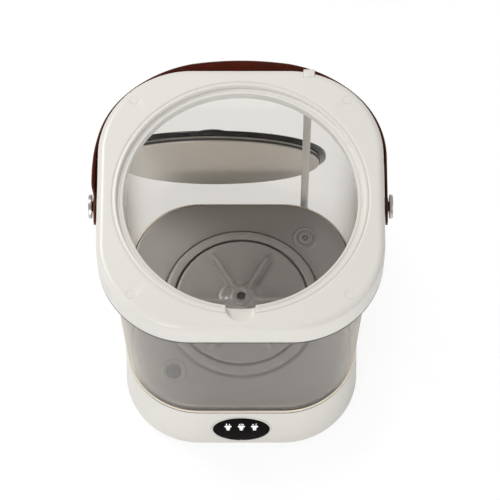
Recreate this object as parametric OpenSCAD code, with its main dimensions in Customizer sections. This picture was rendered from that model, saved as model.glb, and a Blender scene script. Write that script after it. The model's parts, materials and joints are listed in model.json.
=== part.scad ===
// Portable mini washer: a clear tub on a round-cornered base, a white collar with a carrying strap, a round lid.
// Front is -Y, the feet stand on z = 0, and the pulsator's axis is the Z axis.

/* [Body] */
// Width and depth of the collar, the widest moulding
body_w = 240; // [216:1:300]
// Height of the collar's top face above the surface
body_h = 301; // [260:1:370]
// Corner radius of the collar in plan
collar_corner_r = 78.5; // [60:0.5:90]
// Height of the collar's skirt and top together
collar_h = 30.5; // [26:0.5:40]
// Height of the seam between base and tub
base_h = 70.6; // [68:0.2:94]
// How far the base's side stands in from the collar at the seam
base_inset = 16.7; // [14:0.1:24]
// How much wider each side of the base is at the bottom than at the seam
base_draft = 1.9; // [0:0.1:4]
// Corner radius of the base in plan, at the seam
base_corner_r = 66; // [50:0.5:75]
// Wall of the base shell
base_wall = 2.6; // [2:0.1:4]

/* [Tub] */
// How far the tub's foot stands in from the collar
tub_inset = 17.7; // [15:0.1:26]
// How much each side of the tub leans out between its foot and its flare
tub_lean = 6; // [0:0.1:6]
// Height of the flare under the collar
flare_h = 25; // [15:1:35]
// Wall of the clear tub
tub_wall_t = 3; // [2:0.1:4]
// Height of the trim ring between base and tub
trim_h = 2.8; // [1.5:0.1:5]
// Gap of the shadow line beside the trim ring
shadow_gap = 0.3; // [0.1:0.1:0.8]
// Height of the tub's floor above the foot of the clear wall
floor_rise = 6.6; // [4:0.2:12]
// Thickness of the tub's floor
floor_t = 3; // [2:0.1:5]
// Outer radius of the raised ring round the pulsator
floor_ring_r = 69; // [62:0.5:80]
// Height of that ring above the floor
floor_ring_h = 4; // [2:0.5:7]
// Radius of the round fittings in the floor
floor_fitting_r = 6.5; // [5:0.1:8]

/* [Collar] */
// Width of the collar's top between its edge and the opening
rim_land = 21.9; // [18:0.1:30]
// Rounding of the collar's top edge
collar_fillet = 6; // [3:0.5:8]
// Thickness of the collar's skirt
skirt_t = 3.5; // [3:0.1:5]
// Thickness of the collar's top
collar_top_t = 3.5; // [3:0.1:5]
// Depth of the lid's seat below the collar's top
seat_depth = 4; // [3:0.1:6]
// Width of the ledge that the lid rests on, outside the seat ring
ledge_w = 3.2; // [2:0.1:5]
// Wall of the seat ring in the opening
seat_ring_t = 2.7; // [2:0.1:4]
// Height of the seat ring
seat_ring_h = 9; // [6:0.5:10]
// Radius of the finger notch at the front
notch_r = 12.8; // [9:0.1:15]
// How far the finger notch reaches past the wall of the opening
notch_past = 14.9; // [10:0.1:15]
// Thickness of the gasket between tub and collar
rim_gasket_t = 1.5; // [1:0.1:3]
// Distance of the collar screws from the collar's edge, along X and Y
screw_inset = 30; // [29:0.5:36]
// Radius of the round caps over the collar screws
cap_r = 3.75; // [3.2:0.05:4.4]

/* [Handle] */
// Depth of the strap's pivot below the collar's top
pivot_drop = 20.7; // [17:0.1:22]
// Distance of the strap's outer face behind the collar
strap_clear = 13.3; // [10:0.1:40]
// How far the strap's back bows out between its two bends
strap_bow = 3.3; // [1:0.1:6]
// Width of the strap
strap_w = 22.5; // [16:0.5:26]
// Thickness of the strap
strap_t = 1.8; // [1.2:0.1:2.4]
// Length of the strap's end past the pivot
strap_tail = 16; // [12:0.5:19]
// Gap between the collar's side and the strap
strap_gap = 1.3; // [1:0.1:2.5]
// Radius of the post through the strap
post_r = 4.2; // [3:0.1:5]
// Radius of the stud's head
stud_r = 10.2; // [8:0.1:12]
// Thickness of the stud's head
stud_t = 3.2; // [2:0.1:5]
// Gap between the strap's outer face and the stud's head
stud_gap = 1.4; // [1:0.1:3]

/* [Pulsator] */
// Radius of the pulsator's disc
pulsator_r = 59; // [50:0.5:60]
// Thickness of the pulsator's disc
pulsator_t = 2.8; // [2:0.1:4]
// Number of vanes on the pulsator
vane_count = 6; // [3:1:8]
// Height of the pulsator's hub above the tub's floor
hub_h = 16.5; // [14:0.5:24]
// Radius of the hub's cap
hub_r = 8.5; // [7.5:0.1:11]
// Radius of the pulsator's shaft
shaft_r = 4; // [3:0.1:5]

/* [Drive] */
// Module of the gears
gear_module = 0.9; // [0.8:0.05:1]
// Teeth of the gear on the pulsator's shaft
drive_teeth = 54; // [48:2:60]
// Teeth of the motor's pinion
pinion_teeth = 18; // [17:1:22]
// Face width of the drive gear
gear_w = 8; // [5:0.5:9]
// Outer radius of both ball bearings
bearing_r = 11; // [9.5:0.5:12]
// Width of both ball bearings
bearing_w = 7; // [5:0.5:8]
// Radius of the motor's can
motor_r = 18; // [15:0.5:18]
// Radius of the motor's shaft
motor_shaft_r = 1.6; // [1.5:0.1:2.5]

/* [Panel] */
// Radius of the glossy control disc
lens_r = 25.5; // [20:0.5:26]
// Height of the control disc's centre
panel_z = 36.4; // [34:0.2:40]
// Width of the bezel round the control disc
bezel_w = 1.4; // [1:0.1:3]

/* [Lid] */
// Gap between the lid's edge and the wall of its seat
lid_gap = 0.7; // [0.3:0.1:1.5]
// Thickness of the lid's disc
lid_t = 4; // [3:0.1:5]
// Thickness of the liner under the lid
liner_t = 5; // [3:0.5:8]
// Angle at which the lid stands against the back of the tub
lid_stand = 75; // [70:1:80]
// How far the standing lid's liner reaches past the hose
lid_past_hose = 13.7; // [8:0.1:20]

/* [Drain] */
// Outer radius of the drain hose
hose_r = 3.5; // [3:0.1:4]
// Sideways place of the hose
hose_x = 58; // [50:1:60]
// Height of the drain's outlet in the base
outlet_z = 36; // [30:1:44]
// Gap between the outlet's elbow and the base
outlet_gap = 3.05; // [0.5:0.05:4]
// Gap between the hose's plug and the tub
plug_gap = 1.65; // [0.5:0.05:3]
// Wall of the clip's ring round the plug
clip_wall = 1.1; // [0.8:0.1:2]

/* [Fits] */
// Running clearance between a shaft and its hole, on the radius
run_gap = 0.05; // [0.02:0.01:0.1]
// Clearance between mouldings that slip into each other, per side
slip_gap = 0.35; // [0.2:0.05:0.6]
// Height of the rubber feet under the bottom cover
foot_h = 4; // [3:0.5:6]

/* [Hidden] */
$fn = 96;
eps = 0.01;
small_fn = 40;

// Colours of the finishes
white_plastic = [0.86, 0.85, 0.82];
cream_plastic = [0.9, 0.87, 0.8];
clear_plastic = [0.8, 0.85, 0.88, 0.3];
smoke_plastic = [0.3, 0.31, 0.32];
black_gloss = [0.04, 0.04, 0.045];
rubber_grey = [0.2, 0.2, 0.2];
steel = [0.75, 0.75, 0.76];
leather = [0.36, 0.17, 0.09];
board_green = [0.1, 0.35, 0.2];
nylon = [0.92, 0.9, 0.85];

// Levels, from the feet up
cover_t = 2.5;
cover_z = foot_h;
cover_top = cover_z + cover_t;
shell_z = cover_z - 0.5;
flange_t = 2;
ledge_z = base_h - 5.2;
ledge_t = 2;
floor_flange_z = ledge_z;
trim_z = base_h + shadow_gap;
tub_z = trim_z + trim_h + shadow_gap;
floor_z = tub_z + floor_rise;
tub_gasket_t = 1.2;
collar_z = body_h - collar_h;
flare_z = collar_z - flare_h;
rim_top = body_h - collar_fillet - 9;
rib_z = rim_top + rim_gasket_t;
cavity_top = body_h - collar_top_t;
seat_z = body_h - seat_depth;
seat_ring_z = seat_z - seat_ring_h;
pivot_z = body_h - pivot_drop;
disc_z = floor_z + 1.8;
disc_top = disc_z + pulsator_t;
hub_top = floor_z + hub_h;

// Widths and radii in plan
opening_r = body_w / 2 - rim_land;
neck_r = opening_r + seat_ring_t;
seat_r = neck_r + ledge_w;
lid_r = seat_r - lid_gap;
liner_r = opening_r - 1.4;
base_half = body_w / 2 - base_inset;
tub_half = body_w / 2 - tub_inset;
rim_half = body_w / 2 - skirt_t - 0.5;
rim_corner_r = collar_corner_r - skirt_t - 0.5;
tub_corner_r = base_corner_r - 1;
foot_half = tub_half - 2.3;
foot_t = 2;
lap_h = 3;
trim_half = base_half - 0.2;
shell_in_half = base_half - base_wall;
flange_half = foot_half;
cover_half = base_half - base_wall - slip_gap + base_draft;
boss_at = body_w / 2 - screw_inset;
notch_y = -(opening_r + notch_past - notch_r);
notch_z = seat_ring_z + 2;
strap_in_x = body_w / 2 + strap_gap;
strap_out_x = strap_in_x + strap_t;
stud_x = strap_out_x + stud_gap;
foot_at = base_half - 36;
column_at = base_half - 24.4;
column_r = 5;
pad_at = tub_half - 13.5;

// Screws, their holes and their posts, as radii
screw_r = 1.5;
pilot_r = 1.55;
pass_r = 1.7;
cover_hole_r = 1.9;
foot_plug_r = 3.95;
post_wall_r = 4.6;
ledge_post_r = 4;
fitting_neck_r = 3.9;
boss_wall = 2.6;
motor_screw_x = 11;

// Half-width of the base's outer face at height z
function base_half_at(z) = base_half + base_draft * (base_h - z) / (base_h - shell_z);

// Half-width of the tub's outer face at height z, and its corner radius there
function tub_half_at(z) =
  z < flare_z ? tub_half + tub_lean * (z - tub_z) / (flare_z - tub_z)
  : z < collar_z ? tub_half + tub_lean + (rim_half - tub_half - tub_lean) * pow((z - flare_z) / flare_h, 2)
  : rim_half;
function tub_corner_at(z) =
  tub_corner_r + (rim_corner_r - tub_corner_r) * (tub_half_at(z) - tub_half) / (rim_half - tub_half);

// Y of the back face of a square with rounded corners, x to the side of its middle
function back_at(x, half, r) =
  let (s = half - r) s + sqrt(pow(r, 2) - pow(max(abs(x) - s, 0), 2));

// One ring of points round a square with rounded corners, counter-clockwise
corner_steps = 14;
function ring(half, r, z) = [
  for (k = [0:3], i = [0:corner_steps])
    let (a = 90 * (k + i / corner_steps), s = (half - r) * sqrt(2))
    [s * cos(90 * k + 45) + r * cos(a), s * sin(90 * k + 45) + r * sin(a), z]
];

// Closed solid through a stack of rings with equal numbers of points
module loft(rings) {
  n = len(rings[0]);
  last = len(rings) - 1;
  polyhedron(
    points = [for (r = rings) each r],
    faces = concat(
      [[for (i = [0:n - 1]) i]],
      [for (k = [0:last - 1], i = [0:n - 1])
        [(k + 1) * n + i, (k + 1) * n + (i + 1) % n, k * n + (i + 1) % n, k * n + i]],
      [[for (i = [n - 1:-1:0]) last * n + i]]
    ));
}

// Plate with a rounded square outline, standing on z
module slab(half, r, z, h) {
  translate([0, 0, z])
    linear_extrude(h) {
      square([2 * half, 2 * (half - r)], center = true);
      square([2 * (half - r), 2 * half], center = true);
      at_corners(half - r) circle(r);
    }
}

// Upright ring between two rounded square outlines
module slab_ring(half, r, t, z, h) {
  difference() {
    slab(half, r, z, h);
    slab(half - t, r - t, z - 1, h + 2);
  }
}

// Children at the four corners of a square
module at_corners(d) {
  for (x = [-d, d], y = [-d, d])
    translate([x, y]) children();
}

// Children at the middle of each side of a square, turned to face outwards
module at_sides(d) {
  for (a = [0:90:270])
    rotate(a) translate([d, 0]) children();
}

// Round bar along Z from z to z + h
module bar(r, z, h, fn = $fn) {
  translate([0, 0, z]) cylinder(r = r, h = h, $fn = fn);
}

// Round tube along Z
module tube(r_out, r_in, z, h) {
  difference() {
    bar(r_out, z, h);
    bar(r_in, z - 1, h + 2);
  }
}

// Screw along Z with its head at the bottom, standing on z
module screw_up(head_r, head_h, shank_r, length) {
  bar(head_r, 0, head_h, small_fn);
  bar(shank_r, head_h - eps, length + eps, small_fn);
}

// Tube of radius r swept along points that lie in one upright plane parallel to YZ
function along(p, i) =
  let (a = p[max(i - 1, 0)], b = p[min(i + 1, len(p) - 1)], d = b - a) d / norm(d);
module sweep(p, r, sides = 10) {
  loft([for (i = [0:len(p) - 1])
    let (d = along(p, i), u = cross(d, abs(d.x) > 0.9 ? [0, 0, 1] : [1, 0, 0]), v = u / norm(u), w = cross(d, v))
    [for (k = [0:sides - 1]) p[i] + r * (cos(360 * k / sides) * v + sin(360 * k / sides) * w)]]);
}

// ---------------------------------------------------------------- base
module in_panel_frame() {
  translate([0, -base_half_at(panel_z), panel_z])
    rotate([90 - atan(base_draft / (base_h - shell_z)), 0, 0]) children();
}

recess_d = 1.2;
jack_x = -30;
jack_z = 22;
jack_nose_r = 4;
elbow_bore_r = 4.6;

module base_shell() {
  color(white_plastic)
    difference() {
      loft([ring(base_half_at(shell_z) - 1.5, base_corner_r + base_draft - 1.5, shell_z),
        ring(base_half_at(shell_z + 1.5), base_corner_r + base_draft, shell_z + 1.5),
        ring(base_half, base_corner_r, base_h)]);
      difference() {
        loft([ring(base_half_at(shell_z - 1) - base_wall, base_corner_r + base_draft - base_wall, shell_z - 1),
          ring(base_half_at(ledge_z - ledge_t) - base_wall, base_corner_r - base_wall, ledge_z - ledge_t)]);
        at_corners(column_at) bar(column_r, cover_top, ledge_z - cover_top, small_fn);
      }
      difference() {
        slab(flange_half - 4, tub_corner_r - 6, ledge_z - ledge_t - 1, ledge_t + 2);
        at_sides(pad_at) translate([-5, -6, ledge_z - ledge_t]) cube([flange_half - pad_at + 3, 12, ledge_t]);
      }
      at_sides(pad_at) bar(cover_hole_r, ledge_z - 5, 10, small_fn);
      slab(shell_in_half, base_corner_r - base_wall, ledge_z, base_h);
      at_corners(column_at) bar(pilot_r, cover_z, 14, small_fn);
      in_panel_frame() {
        bar(lens_r + bezel_w + 0.1, -recess_d, 5);
        bar(lens_r - 2.5, -10, 20);
      }
      translate([jack_x, base_half - 10, jack_z]) rotate([-90, 0, 0]) bar(jack_nose_r + run_gap, 0, 30, small_fn);
      translate([hose_x, base_half - 20, outlet_z]) rotate([-90, 0, 0]) bar(elbow_bore_r + 0.1, 0, 40, small_fn);
    }
}

module bottom_cover() {
  color(white_plastic)
    difference() {
      union() {
        slab(cover_half, base_corner_r + base_draft - base_wall - slip_gap, cover_z, cover_t);
        for (x = board_x, y = board_y) translate([x, y]) bar(3, cover_top - eps, board_z - cover_top + eps, small_fn);
      }
      at_corners(column_at) {
        bar(cover_hole_r, cover_z - 1, 5, small_fn);
        bar(3.4, cover_z - 1, 2.2, small_fn);
      }
      at_corners(foot_at) bar(foot_plug_r + run_gap, cover_z - 1, 5, small_fn);
    }
}

module rubber_feet() {
  color(rubber_grey)
    at_corners(foot_at) {
      bar(9, 0, foot_h);
      bar(foot_plug_r, foot_h - eps, cover_t + eps, small_fn);
      bar(4.8, cover_top, 1, small_fn);
    }
}

module bottom_screws() {
  color(steel)
    at_corners(column_at) translate([0, 0, cover_z - 0.7]) screw_up(3.2, 1.9, screw_r, 10);
}

module trim_ring() {
  color(cream_plastic)
    slab_ring(trim_half, base_corner_r - 0.2, trim_half - foot_half - slip_gap, trim_z - shadow_gap,
      trim_h + shadow_gap);
}

// ---------------------------------------------------------------- tub
foot_corner_r = tub_corner_r - 2.3;
skirt_half = foot_half - foot_t - 0.2;
skirt_corner_r = foot_corner_r - foot_t - 0.2;
strainer_at = [hose_x, 64];
sensor_at = [-60, -65];
boss_r = bearing_r + 3.5;
seal_z = floor_z - 6;
upper_bearing_z = seal_z - 3 - bearing_w;
mount_lug_r = 5.5;
drive_pitch_r = gear_module * drive_teeth / 2;
pinion_pitch_r = gear_module * pinion_teeth / 2;
motor_y = drive_pitch_r + pinion_pitch_r;
housing_r = drive_pitch_r + gear_module + 6.5;
housing_wall = 2.5;
housing_top = floor_z - 13.1;
gear_z = upper_bearing_z - 3.4 - gear_w;
housing_floor = gear_z - 3;
housing_z = housing_floor - 3;
lug_spots = [[housing_r + 3.5, 0], [-housing_r - 3.5, 0], [0, -housing_r - 3.5], [0, motor_y + motor_r + 6]];

module tub_floor() {
  color(smoke_plastic)
    difference() {
      union() {
        slab(skirt_half, skirt_corner_r, floor_z - floor_t, floor_t);
        slab_ring(skirt_half, skirt_corner_r, 2, floor_flange_z, floor_z - floor_flange_z - eps);
        slab_ring(flange_half, foot_corner_r, flange_half - skirt_half + 1, floor_flange_z, flange_t);
        tube(floor_ring_r, floor_ring_r - 8, floor_z - eps, floor_ring_h + eps);
        bar(boss_r, upper_bearing_z, floor_z - floor_t - upper_bearing_z + eps);
        at_sides(pad_at) bar(ledge_post_r, floor_flange_z, floor_z - floor_t - floor_flange_z + eps, small_fn);
        for (p = lug_spots)
          translate(p) bar(mount_lug_r, housing_top, floor_z - floor_t - housing_top + eps, small_fn);
        translate(strainer_at) bar(floor_fitting_r + 1.5, floor_z - floor_t - 3, 3 + eps, small_fn);
        translate(sensor_at) bar(floor_fitting_r + 1.5, floor_z - floor_t - 3, 3 + eps, small_fn);
      }
      bar(bearing_r, seal_z, 20);
      bar(shaft_r + 2, upper_bearing_z - 1, 40);
      bar(bearing_r, upper_bearing_z - 1, bearing_w + 1);
      at_sides(pad_at) bar(1.8, floor_flange_z - 1, floor_z - floor_t - floor_flange_z + 2.5, small_fn);
      for (p = lug_spots) translate(p) bar(pilot_r, housing_top - 1, 9, small_fn);
      for (p = [strainer_at, sensor_at]) translate(p) {
        bar(floor_fitting_r + 0.1, floor_z - 1.5, 5, small_fn);
        bar(fitting_neck_r + 0.1, floor_z - 20, 30, small_fn);
      }
    }
}

module tub_gasket() {
  color(rubber_grey)
    slab_ring(flange_half, foot_corner_r, foot_t, floor_flange_z + flange_t, tub_gasket_t);
}

module tub_wall() {
  levels = [tub_z, flare_z - 60, flare_z, flare_z + flare_h * 0.35, flare_z + flare_h * 0.6, flare_z + flare_h * 0.8,
    collar_z, rim_top];
  foot_z = floor_flange_z + flange_t + tub_gasket_t;
  color(clear_plastic)
    difference() {
      union() {
        difference() {
          loft([for (z = levels) ring(tub_half_at(z), tub_corner_at(z), z)]);
          loft([for (z = concat([tub_z - 1], levels, [rim_top + 1]))
            ring(tub_half_at(z) - tub_wall_t, tub_corner_at(z) - tub_wall_t, z)]);
        }
        slab_ring(foot_half, foot_corner_r, foot_t, foot_z, tub_z + lap_h - foot_z);
        at_corners(boss_at) bar(post_wall_r, rim_top - 12, 12, small_fn);
      }
      at_corners(boss_at) bar(pilot_r, rim_top - 11, 12, small_fn);
    }
}

module floor_screws() {
  color(steel)
    at_sides(pad_at) translate([0, 0, ledge_z - ledge_t - 2.6]) screw_up(3.4, 2.6, 1.75, 9);
}

module drain_strainer() {
  color(smoke_plastic)
    translate(strainer_at)
      difference() {
        union() {
          bar(floor_fitting_r, floor_z - 1.5, 2.3, small_fn);
          bar(fitting_neck_r, floor_z - 12, 11, small_fn);
        }
        bar(3, floor_z - 13, 12, small_fn);
        for (a = [0:60:300])
          rotate(a) translate([2, 0]) bar(0.7, floor_z - 3, 5, 16);
      }
}

module level_sensor() {
  color(rubber_grey)
    translate(sensor_at) {
      bar(floor_fitting_r, floor_z - 1.5, 2.5, small_fn);
      bar(fitting_neck_r, floor_z - 14, 13, small_fn);
    }
}

// ---------------------------------------------------------------- collar
module rim_gasket() {
  color(rubber_grey)
    difference() {
      union() {
        slab_ring(rim_half, rim_corner_r, tub_wall_t, rim_top, rim_gasket_t);
        at_corners(boss_at) bar(post_wall_r, rim_top, rim_gasket_t, small_fn);
      }
      at_corners(boss_at) bar(pass_r, rim_top - 1, 5, small_fn);
    }
}

clip_w = 9.6;
clip_in_y = body_w / 2 - 8;
clip_floor = body_h - 6.2;
fillet_angles = [0:15:90];

module clip_pocket() {
  translate([hose_x - clip_w / 2 - 0.15, clip_in_y - 0.15, clip_floor - 0.15]) cube([clip_w + 0.3, 20, 20]);
}

module collar_shell() {
  half = body_w / 2;
  color(white_plastic)
    difference() {
      loft(concat(
        [ring(half - 0.8, collar_corner_r - 0.8, collar_z), ring(half, collar_corner_r, collar_z + 0.8)],
        [for (a = fillet_angles)
          let (d = collar_fillet * (1 - cos(a)))
          ring(half - d, collar_corner_r - d, body_h - collar_fillet + collar_fillet * sin(a))]));
      difference() {
        slab(half - skirt_t, collar_corner_r - skirt_t, collar_z - 1, cavity_top - collar_z + 1);
        bar(neck_r + boss_wall, seat_ring_z, cavity_top);
        bar(seat_r + 3, seat_z - 3, cavity_top);
        slab_ring(rim_half, rim_corner_r, tub_wall_t, rib_z, cavity_top - rib_z + 1);
        at_corners(boss_at) bar(post_wall_r + 0.6, rib_z, cavity_top - rib_z + 1, small_fn);
        translate([0, notch_y]) bar(notch_r + boss_wall, notch_z - 2.4, cavity_top);
        translate([hose_x - 8, clip_in_y - 4, rib_z]) cube([16, 20, 20]);
      }
      bar(neck_r, collar_z - 1, collar_h + 2);
      bar(seat_r, seat_z, 10);
      rotate_extrude() translate([seat_r + 3.1, body_h + 0.01]) rotate(-135) square(0.8);
      translate([0, notch_y]) bar(notch_r, notch_z, 30);
      at_corners(boss_at) {
        bar(pass_r, collar_z, collar_h + 1, small_fn);
        bar(cap_r + run_gap, body_h - 4.2, 10, small_fn);
      }
      clip_pocket();
      for (m = [0, 1]) mirror([m, 0, 0])
        translate([0, 0, pivot_z]) rotate([0, 90, 0]) {
          bar(post_r, half - 10, 20, small_fn);
          bar(post_r + 2, half - skirt_t - 5, 6.4, small_fn);
        }
    }
}

module collar_screws() {
  color(steel)
    at_corners(boss_at) {
      bar(2.8, body_h - 4.2, 2.4, small_fn);
      bar(screw_r, rim_top - 10, body_h - 4.2 - rim_top + 10 + eps, small_fn);
    }
}

module screw_caps() {
  color(white_plastic)
    at_corners(boss_at) bar(cap_r, body_h - 1.6, 1.6, small_fn);
}

module lid_seat_ring() {
  color(nylon)
    difference() {
      tube(neck_r - run_gap, opening_r, seat_ring_z, seat_ring_h);
      translate([0, notch_y]) bar(notch_r, notch_z, 30);
    }
}

// ---------------------------------------------------------------- handle
module on_both_sides() {
  for (m = [0, 1]) mirror([m, 0, 0])
    translate([0, 0, pivot_z]) rotate([0, 90, 0]) children();
}

module stud_posts() {
  color(leather)
    on_both_sides() {
      bar(post_r - run_gap, body_w / 2 - skirt_t, stud_x - body_w / 2 + skirt_t, small_fn);
      bar(post_r + 1.9, body_w / 2 - skirt_t, 1.3, small_fn);
    }
}

module stud_heads() {
  color(steel)
    on_both_sides()
      rotate_extrude()
        polygon([[0, stud_x], [stud_r, stud_x], [stud_r, stud_x + stud_t - 1], [stud_r - 1, stud_x + stud_t],
          [0, stud_x + stud_t]]);
}

module strap_washers() {
  color(nylon)
    on_both_sides() tube(post_r + 3, post_r + run_gap, body_w / 2 + 0.1, strap_gap - 0.4);
}

// Mid-line of the strap: straight legs, bends that follow the collar's corners and lift away, and a bowed back
mid_half = strap_in_x + strap_t / 2;
mid_reach = body_w / 2 + strap_clear - strap_t / 2;
side_gap = strap_gap + strap_t / 2;
straight_half = body_w / 2 - collar_corner_r;
shoulder_gap = mid_reach - strap_bow - body_w / 2;
function strap_bend(a) =
  let (g = side_gap + (shoulder_gap - side_gap) * pow(max(a - 45, 0) / 45, 2))
  [straight_half + (collar_corner_r + g) * cos(a), straight_half + (collar_corner_r + g) * sin(a)];
right_half = concat([[mid_half, -strap_tail], [mid_half, 0]], [for (a = [0:5:85]) strap_bend(a)],
  [for (k = [0:4]) let (x = straight_half * (1 - k / 5)) [x, mid_reach - strap_bow * pow(x / straight_half, 2)]]);
mid_line = concat(right_half, [[0, mid_reach]],
  [for (i = [len(right_half) - 1:-1:0]) [-right_half[i].x, right_half[i].y]]);
function side_of(i, d) =
  let (a = mid_line[max(i - 1, 0)], b = mid_line[min(i + 1, len(mid_line) - 1)], t = (b - a) / norm(b - a))
  mid_line[i] + d * [t.y, -t.x];

module handle_strap() {
  n = len(mid_line) - 1;
  end_r = strap_w / 2;
  color(leather)
    difference() {
      translate([0, 0, pivot_z - strap_w / 2])
        linear_extrude(strap_w)
          polygon(concat([for (i = [0:n]) side_of(i, strap_t / 2)], [for (i = [n:-1:0]) side_of(i, -strap_t / 2)]));
      translate([0, end_r - strap_tail, pivot_z])
        difference() {
          translate([-body_w, -2 * end_r, -2 * end_r]) cube([2 * body_w, 2 * end_r, 4 * end_r]);
          rotate([0, 90, 0]) bar(end_r, -body_w - 1, 2 * body_w + 2);
        }
      translate([0, 0, pivot_z]) rotate([0, 90, 0]) bar(post_r + 1.5, -body_w, 2 * body_w, small_fn);
    }
}

module strap_eyelets() {
  color(steel)
    on_both_sides() {
      tube(post_r + 1.45, post_r + run_gap, strap_in_x, strap_t);
      tube(post_r + 3, post_r + run_gap, strap_out_x, 0.5);
    }
}

// ---------------------------------------------------------------- drain
plug_h = 5;
plug_r = hose_r + 0.9;
hose_end_z = collar_z - 13;
plug_z = hose_end_z + plug_h;
hose_y = back_at(hose_x, base_half_at(outlet_z), base_corner_r + base_draft) + elbow_bore_r + outlet_gap;
hose_end_y = back_at(hose_x, tub_half_at(plug_z), tub_corner_at(plug_z)) + plug_r + plug_gap;
hose_from = outlet_z + 14;
hose_route = [[hose_x, hose_y, hose_from], [hose_x, hose_y, flare_z - 30], [hose_x, hose_y + 0.4, flare_z - 20],
  [hose_x, hose_y + 1.6, flare_z - 10], [hose_x, hose_y + 3.6, flare_z], [hose_x, hose_end_y - 0.8, flare_z + 8],
  [hose_x, hose_end_y, hose_end_z - 5], [hose_x, hose_end_y, hose_end_z]];

module drain_hose() {
  color(nylon) sweep(hose_route, hose_r, 12);
}

module hose_plug() {
  color(rubber_grey)
    translate([hose_x, hose_end_y]) bar(plug_r, hose_end_z, plug_h, small_fn);
}

module hose_clip() {
  plate_y = back_at(hose_x - clip_w / 2, body_w / 2, collar_corner_r) + 0.25;
  plate_t = 1.4;
  color(white_plastic)
    difference() {
      union() {
        translate([hose_x - clip_w / 2, clip_in_y, clip_floor]) cube([clip_w, plate_y + 0.4 - clip_in_y, 6.4]);
        translate([hose_x - clip_w / 2, plate_y, hose_end_z + 0.5])
          cube([clip_w, plate_t, clip_floor - hose_end_z]);
        translate([hose_x, hose_end_y]) bar(plug_r + clip_wall, hose_end_z + 0.5, 4, small_fn);
      }
      translate([hose_x, hose_end_y]) bar(plug_r + run_gap, hose_end_z - 1, plug_h + 1.5, small_fn);
      translate([hose_x - 3, hose_end_y - 20, hose_end_z - 1]) cube([6, 20, plug_h + 1.5]);
    }
}

module drain_elbow() {
  color(smoke_plastic)
    translate([hose_x, 0, 0]) {
      translate([0, base_half - 14, outlet_z]) rotate([-90, 0, 0]) bar(elbow_bore_r, 0, hose_y - base_half + 14);
      translate([0, hose_y, outlet_z]) sphere(elbow_bore_r);
      translate([0, hose_y]) bar(elbow_bore_r, outlet_z, hose_from - outlet_z);
    }
}

module drain_tube() {
  top = floor_z - 12;
  color(nylon)
    sweep([[hose_x, strainer_at.y, top], [hose_x, strainer_at.y, outlet_z + 14], [hose_x, strainer_at.y + 2,
      outlet_z + 6], [hose_x, strainer_at.y + 7, outlet_z + 1], [hose_x, strainer_at.y + 14, outlet_z],
      [hose_x, base_half - 14, outlet_z]], 3.8);
}

// ---------------------------------------------------------------- power and controls
module dc_jack() {
  color(black_gloss)
    difference() {
      union() {
        translate([jack_x - 7, base_half - base_wall - 9, jack_z - 5.5]) cube([14, 9, 11]);
        translate([jack_x, base_half - base_wall - 1, jack_z]) rotate([-90, 0, 0])
          bar(jack_nose_r, 0, base_wall + base_draft + 0.8, small_fn);
      }
      translate([jack_x, base_half_at(jack_z) - 9, jack_z]) rotate([-90, 0, 0])
        difference() {
          bar(2.75, 0, 20, small_fn);
          bar(0.95, -1, 8, small_fn);
        }
    }
}

module panel_bezel() {
  color(steel) in_panel_frame() tube(lens_r + bezel_w, lens_r + 0.1, -recess_d, recess_d + 0.6);
}

module panel_lens() {
  color(black_gloss) in_panel_frame() bar(lens_r, -recess_d, recess_d + 0.35);
}

module touch_spacer() {
  color(rubber_grey) in_panel_frame() tube(lens_r - 3, lens_r - 7, -recess_d - 1.8, 1.8);
}

module touch_board() {
  color(board_green) in_panel_frame() bar(lens_r - 3, -recess_d - 3, 1.2);
}

board_x = [-74, -38];
board_y = [-18, 36];
board_z = cover_top + 8;
board_t = 1.6;

module control_board() {
  color(board_green)
    translate([board_x[0] - 4, board_y[0] - 4, board_z]) cube([board_x[1] - board_x[0] + 8, board_y[1] - board_y[0] + 8,
      board_t]);
}

module board_parts() {
  z = board_z + board_t;
  color(black_gloss) {
    translate([-72, -10, z]) cube([15, 19, 15]);
    translate([-50, 26, z]) cube([10, 8, 9]);
    translate([-72, 24, z]) cube([12, 6, 8]);
    translate([-46, -8, z]) cylinder(r = 5, h = 14, $fn = small_fn);
    translate([-50, 8, z]) cube([9, 9, 1.8]);
  }
}

module wire_harness() {
  z = board_z + board_t + 9;
  lead_r = 1.4;
  jack_in_y = base_half - base_wall - 9;
  color(rubber_grey) {
    sweep([[-45, 30, z], [-45, 30, z + 4], [-44, 33, z + 8], [-42, 40, z + 8], [-38, 60, z + 4], [-34, 76, z - 2],
      [jack_x, jack_in_y - 6, jack_z], [jack_x, jack_in_y, jack_z]], lead_r, 8);
    sweep([[-66, 27, z - 1], [-66, 27, z + 4], [-64, 24, z + 14], [-58, 0, z + 20], [-40, -50, z + 14],
      [-20, -84, z + 14], [-8, -base_half + 14, panel_z], [-8, -base_half_at(panel_z) + recess_d + 3.1, panel_z]],
      lead_r, 8);
  }
}

// ---------------------------------------------------------------- drive
function inv(a) = tan(a) - a * PI / 180;
pressure = 20;
gear_slack = 0.1;
// Polar points of one flank, from the root to the tip; the sign picks the side
function gear_flank(teeth, side) =
  let (rp = gear_module * teeth / 2, rb = rp * cos(pressure), root = rp - 1.25 * gear_module, tip = rp + gear_module,
    low = max(rb, root), at_pitch = 90 / teeth - gear_slack / 2 / rp * 180 / PI)
  [for (k = [-1:4])
    let (r = k < 0 ? root : low + (tip - low) * k / 4,
      half = at_pitch + (inv(pressure) - inv(acos(min(rb / max(r, low), 1)))) * 180 / PI)
    [r, side * half]];
function gear_points(teeth) = [
  for (t = [0:teeth - 1])
    let (left = gear_flank(teeth, -1), right = gear_flank(teeth, 1), mid = 360 * t / teeth)
    for (p = concat(left, [for (k = [5:-1:0]) right[k]]))
      [p[0] * cos(mid + p[1]), p[0] * sin(mid + p[1])]
];

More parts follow.
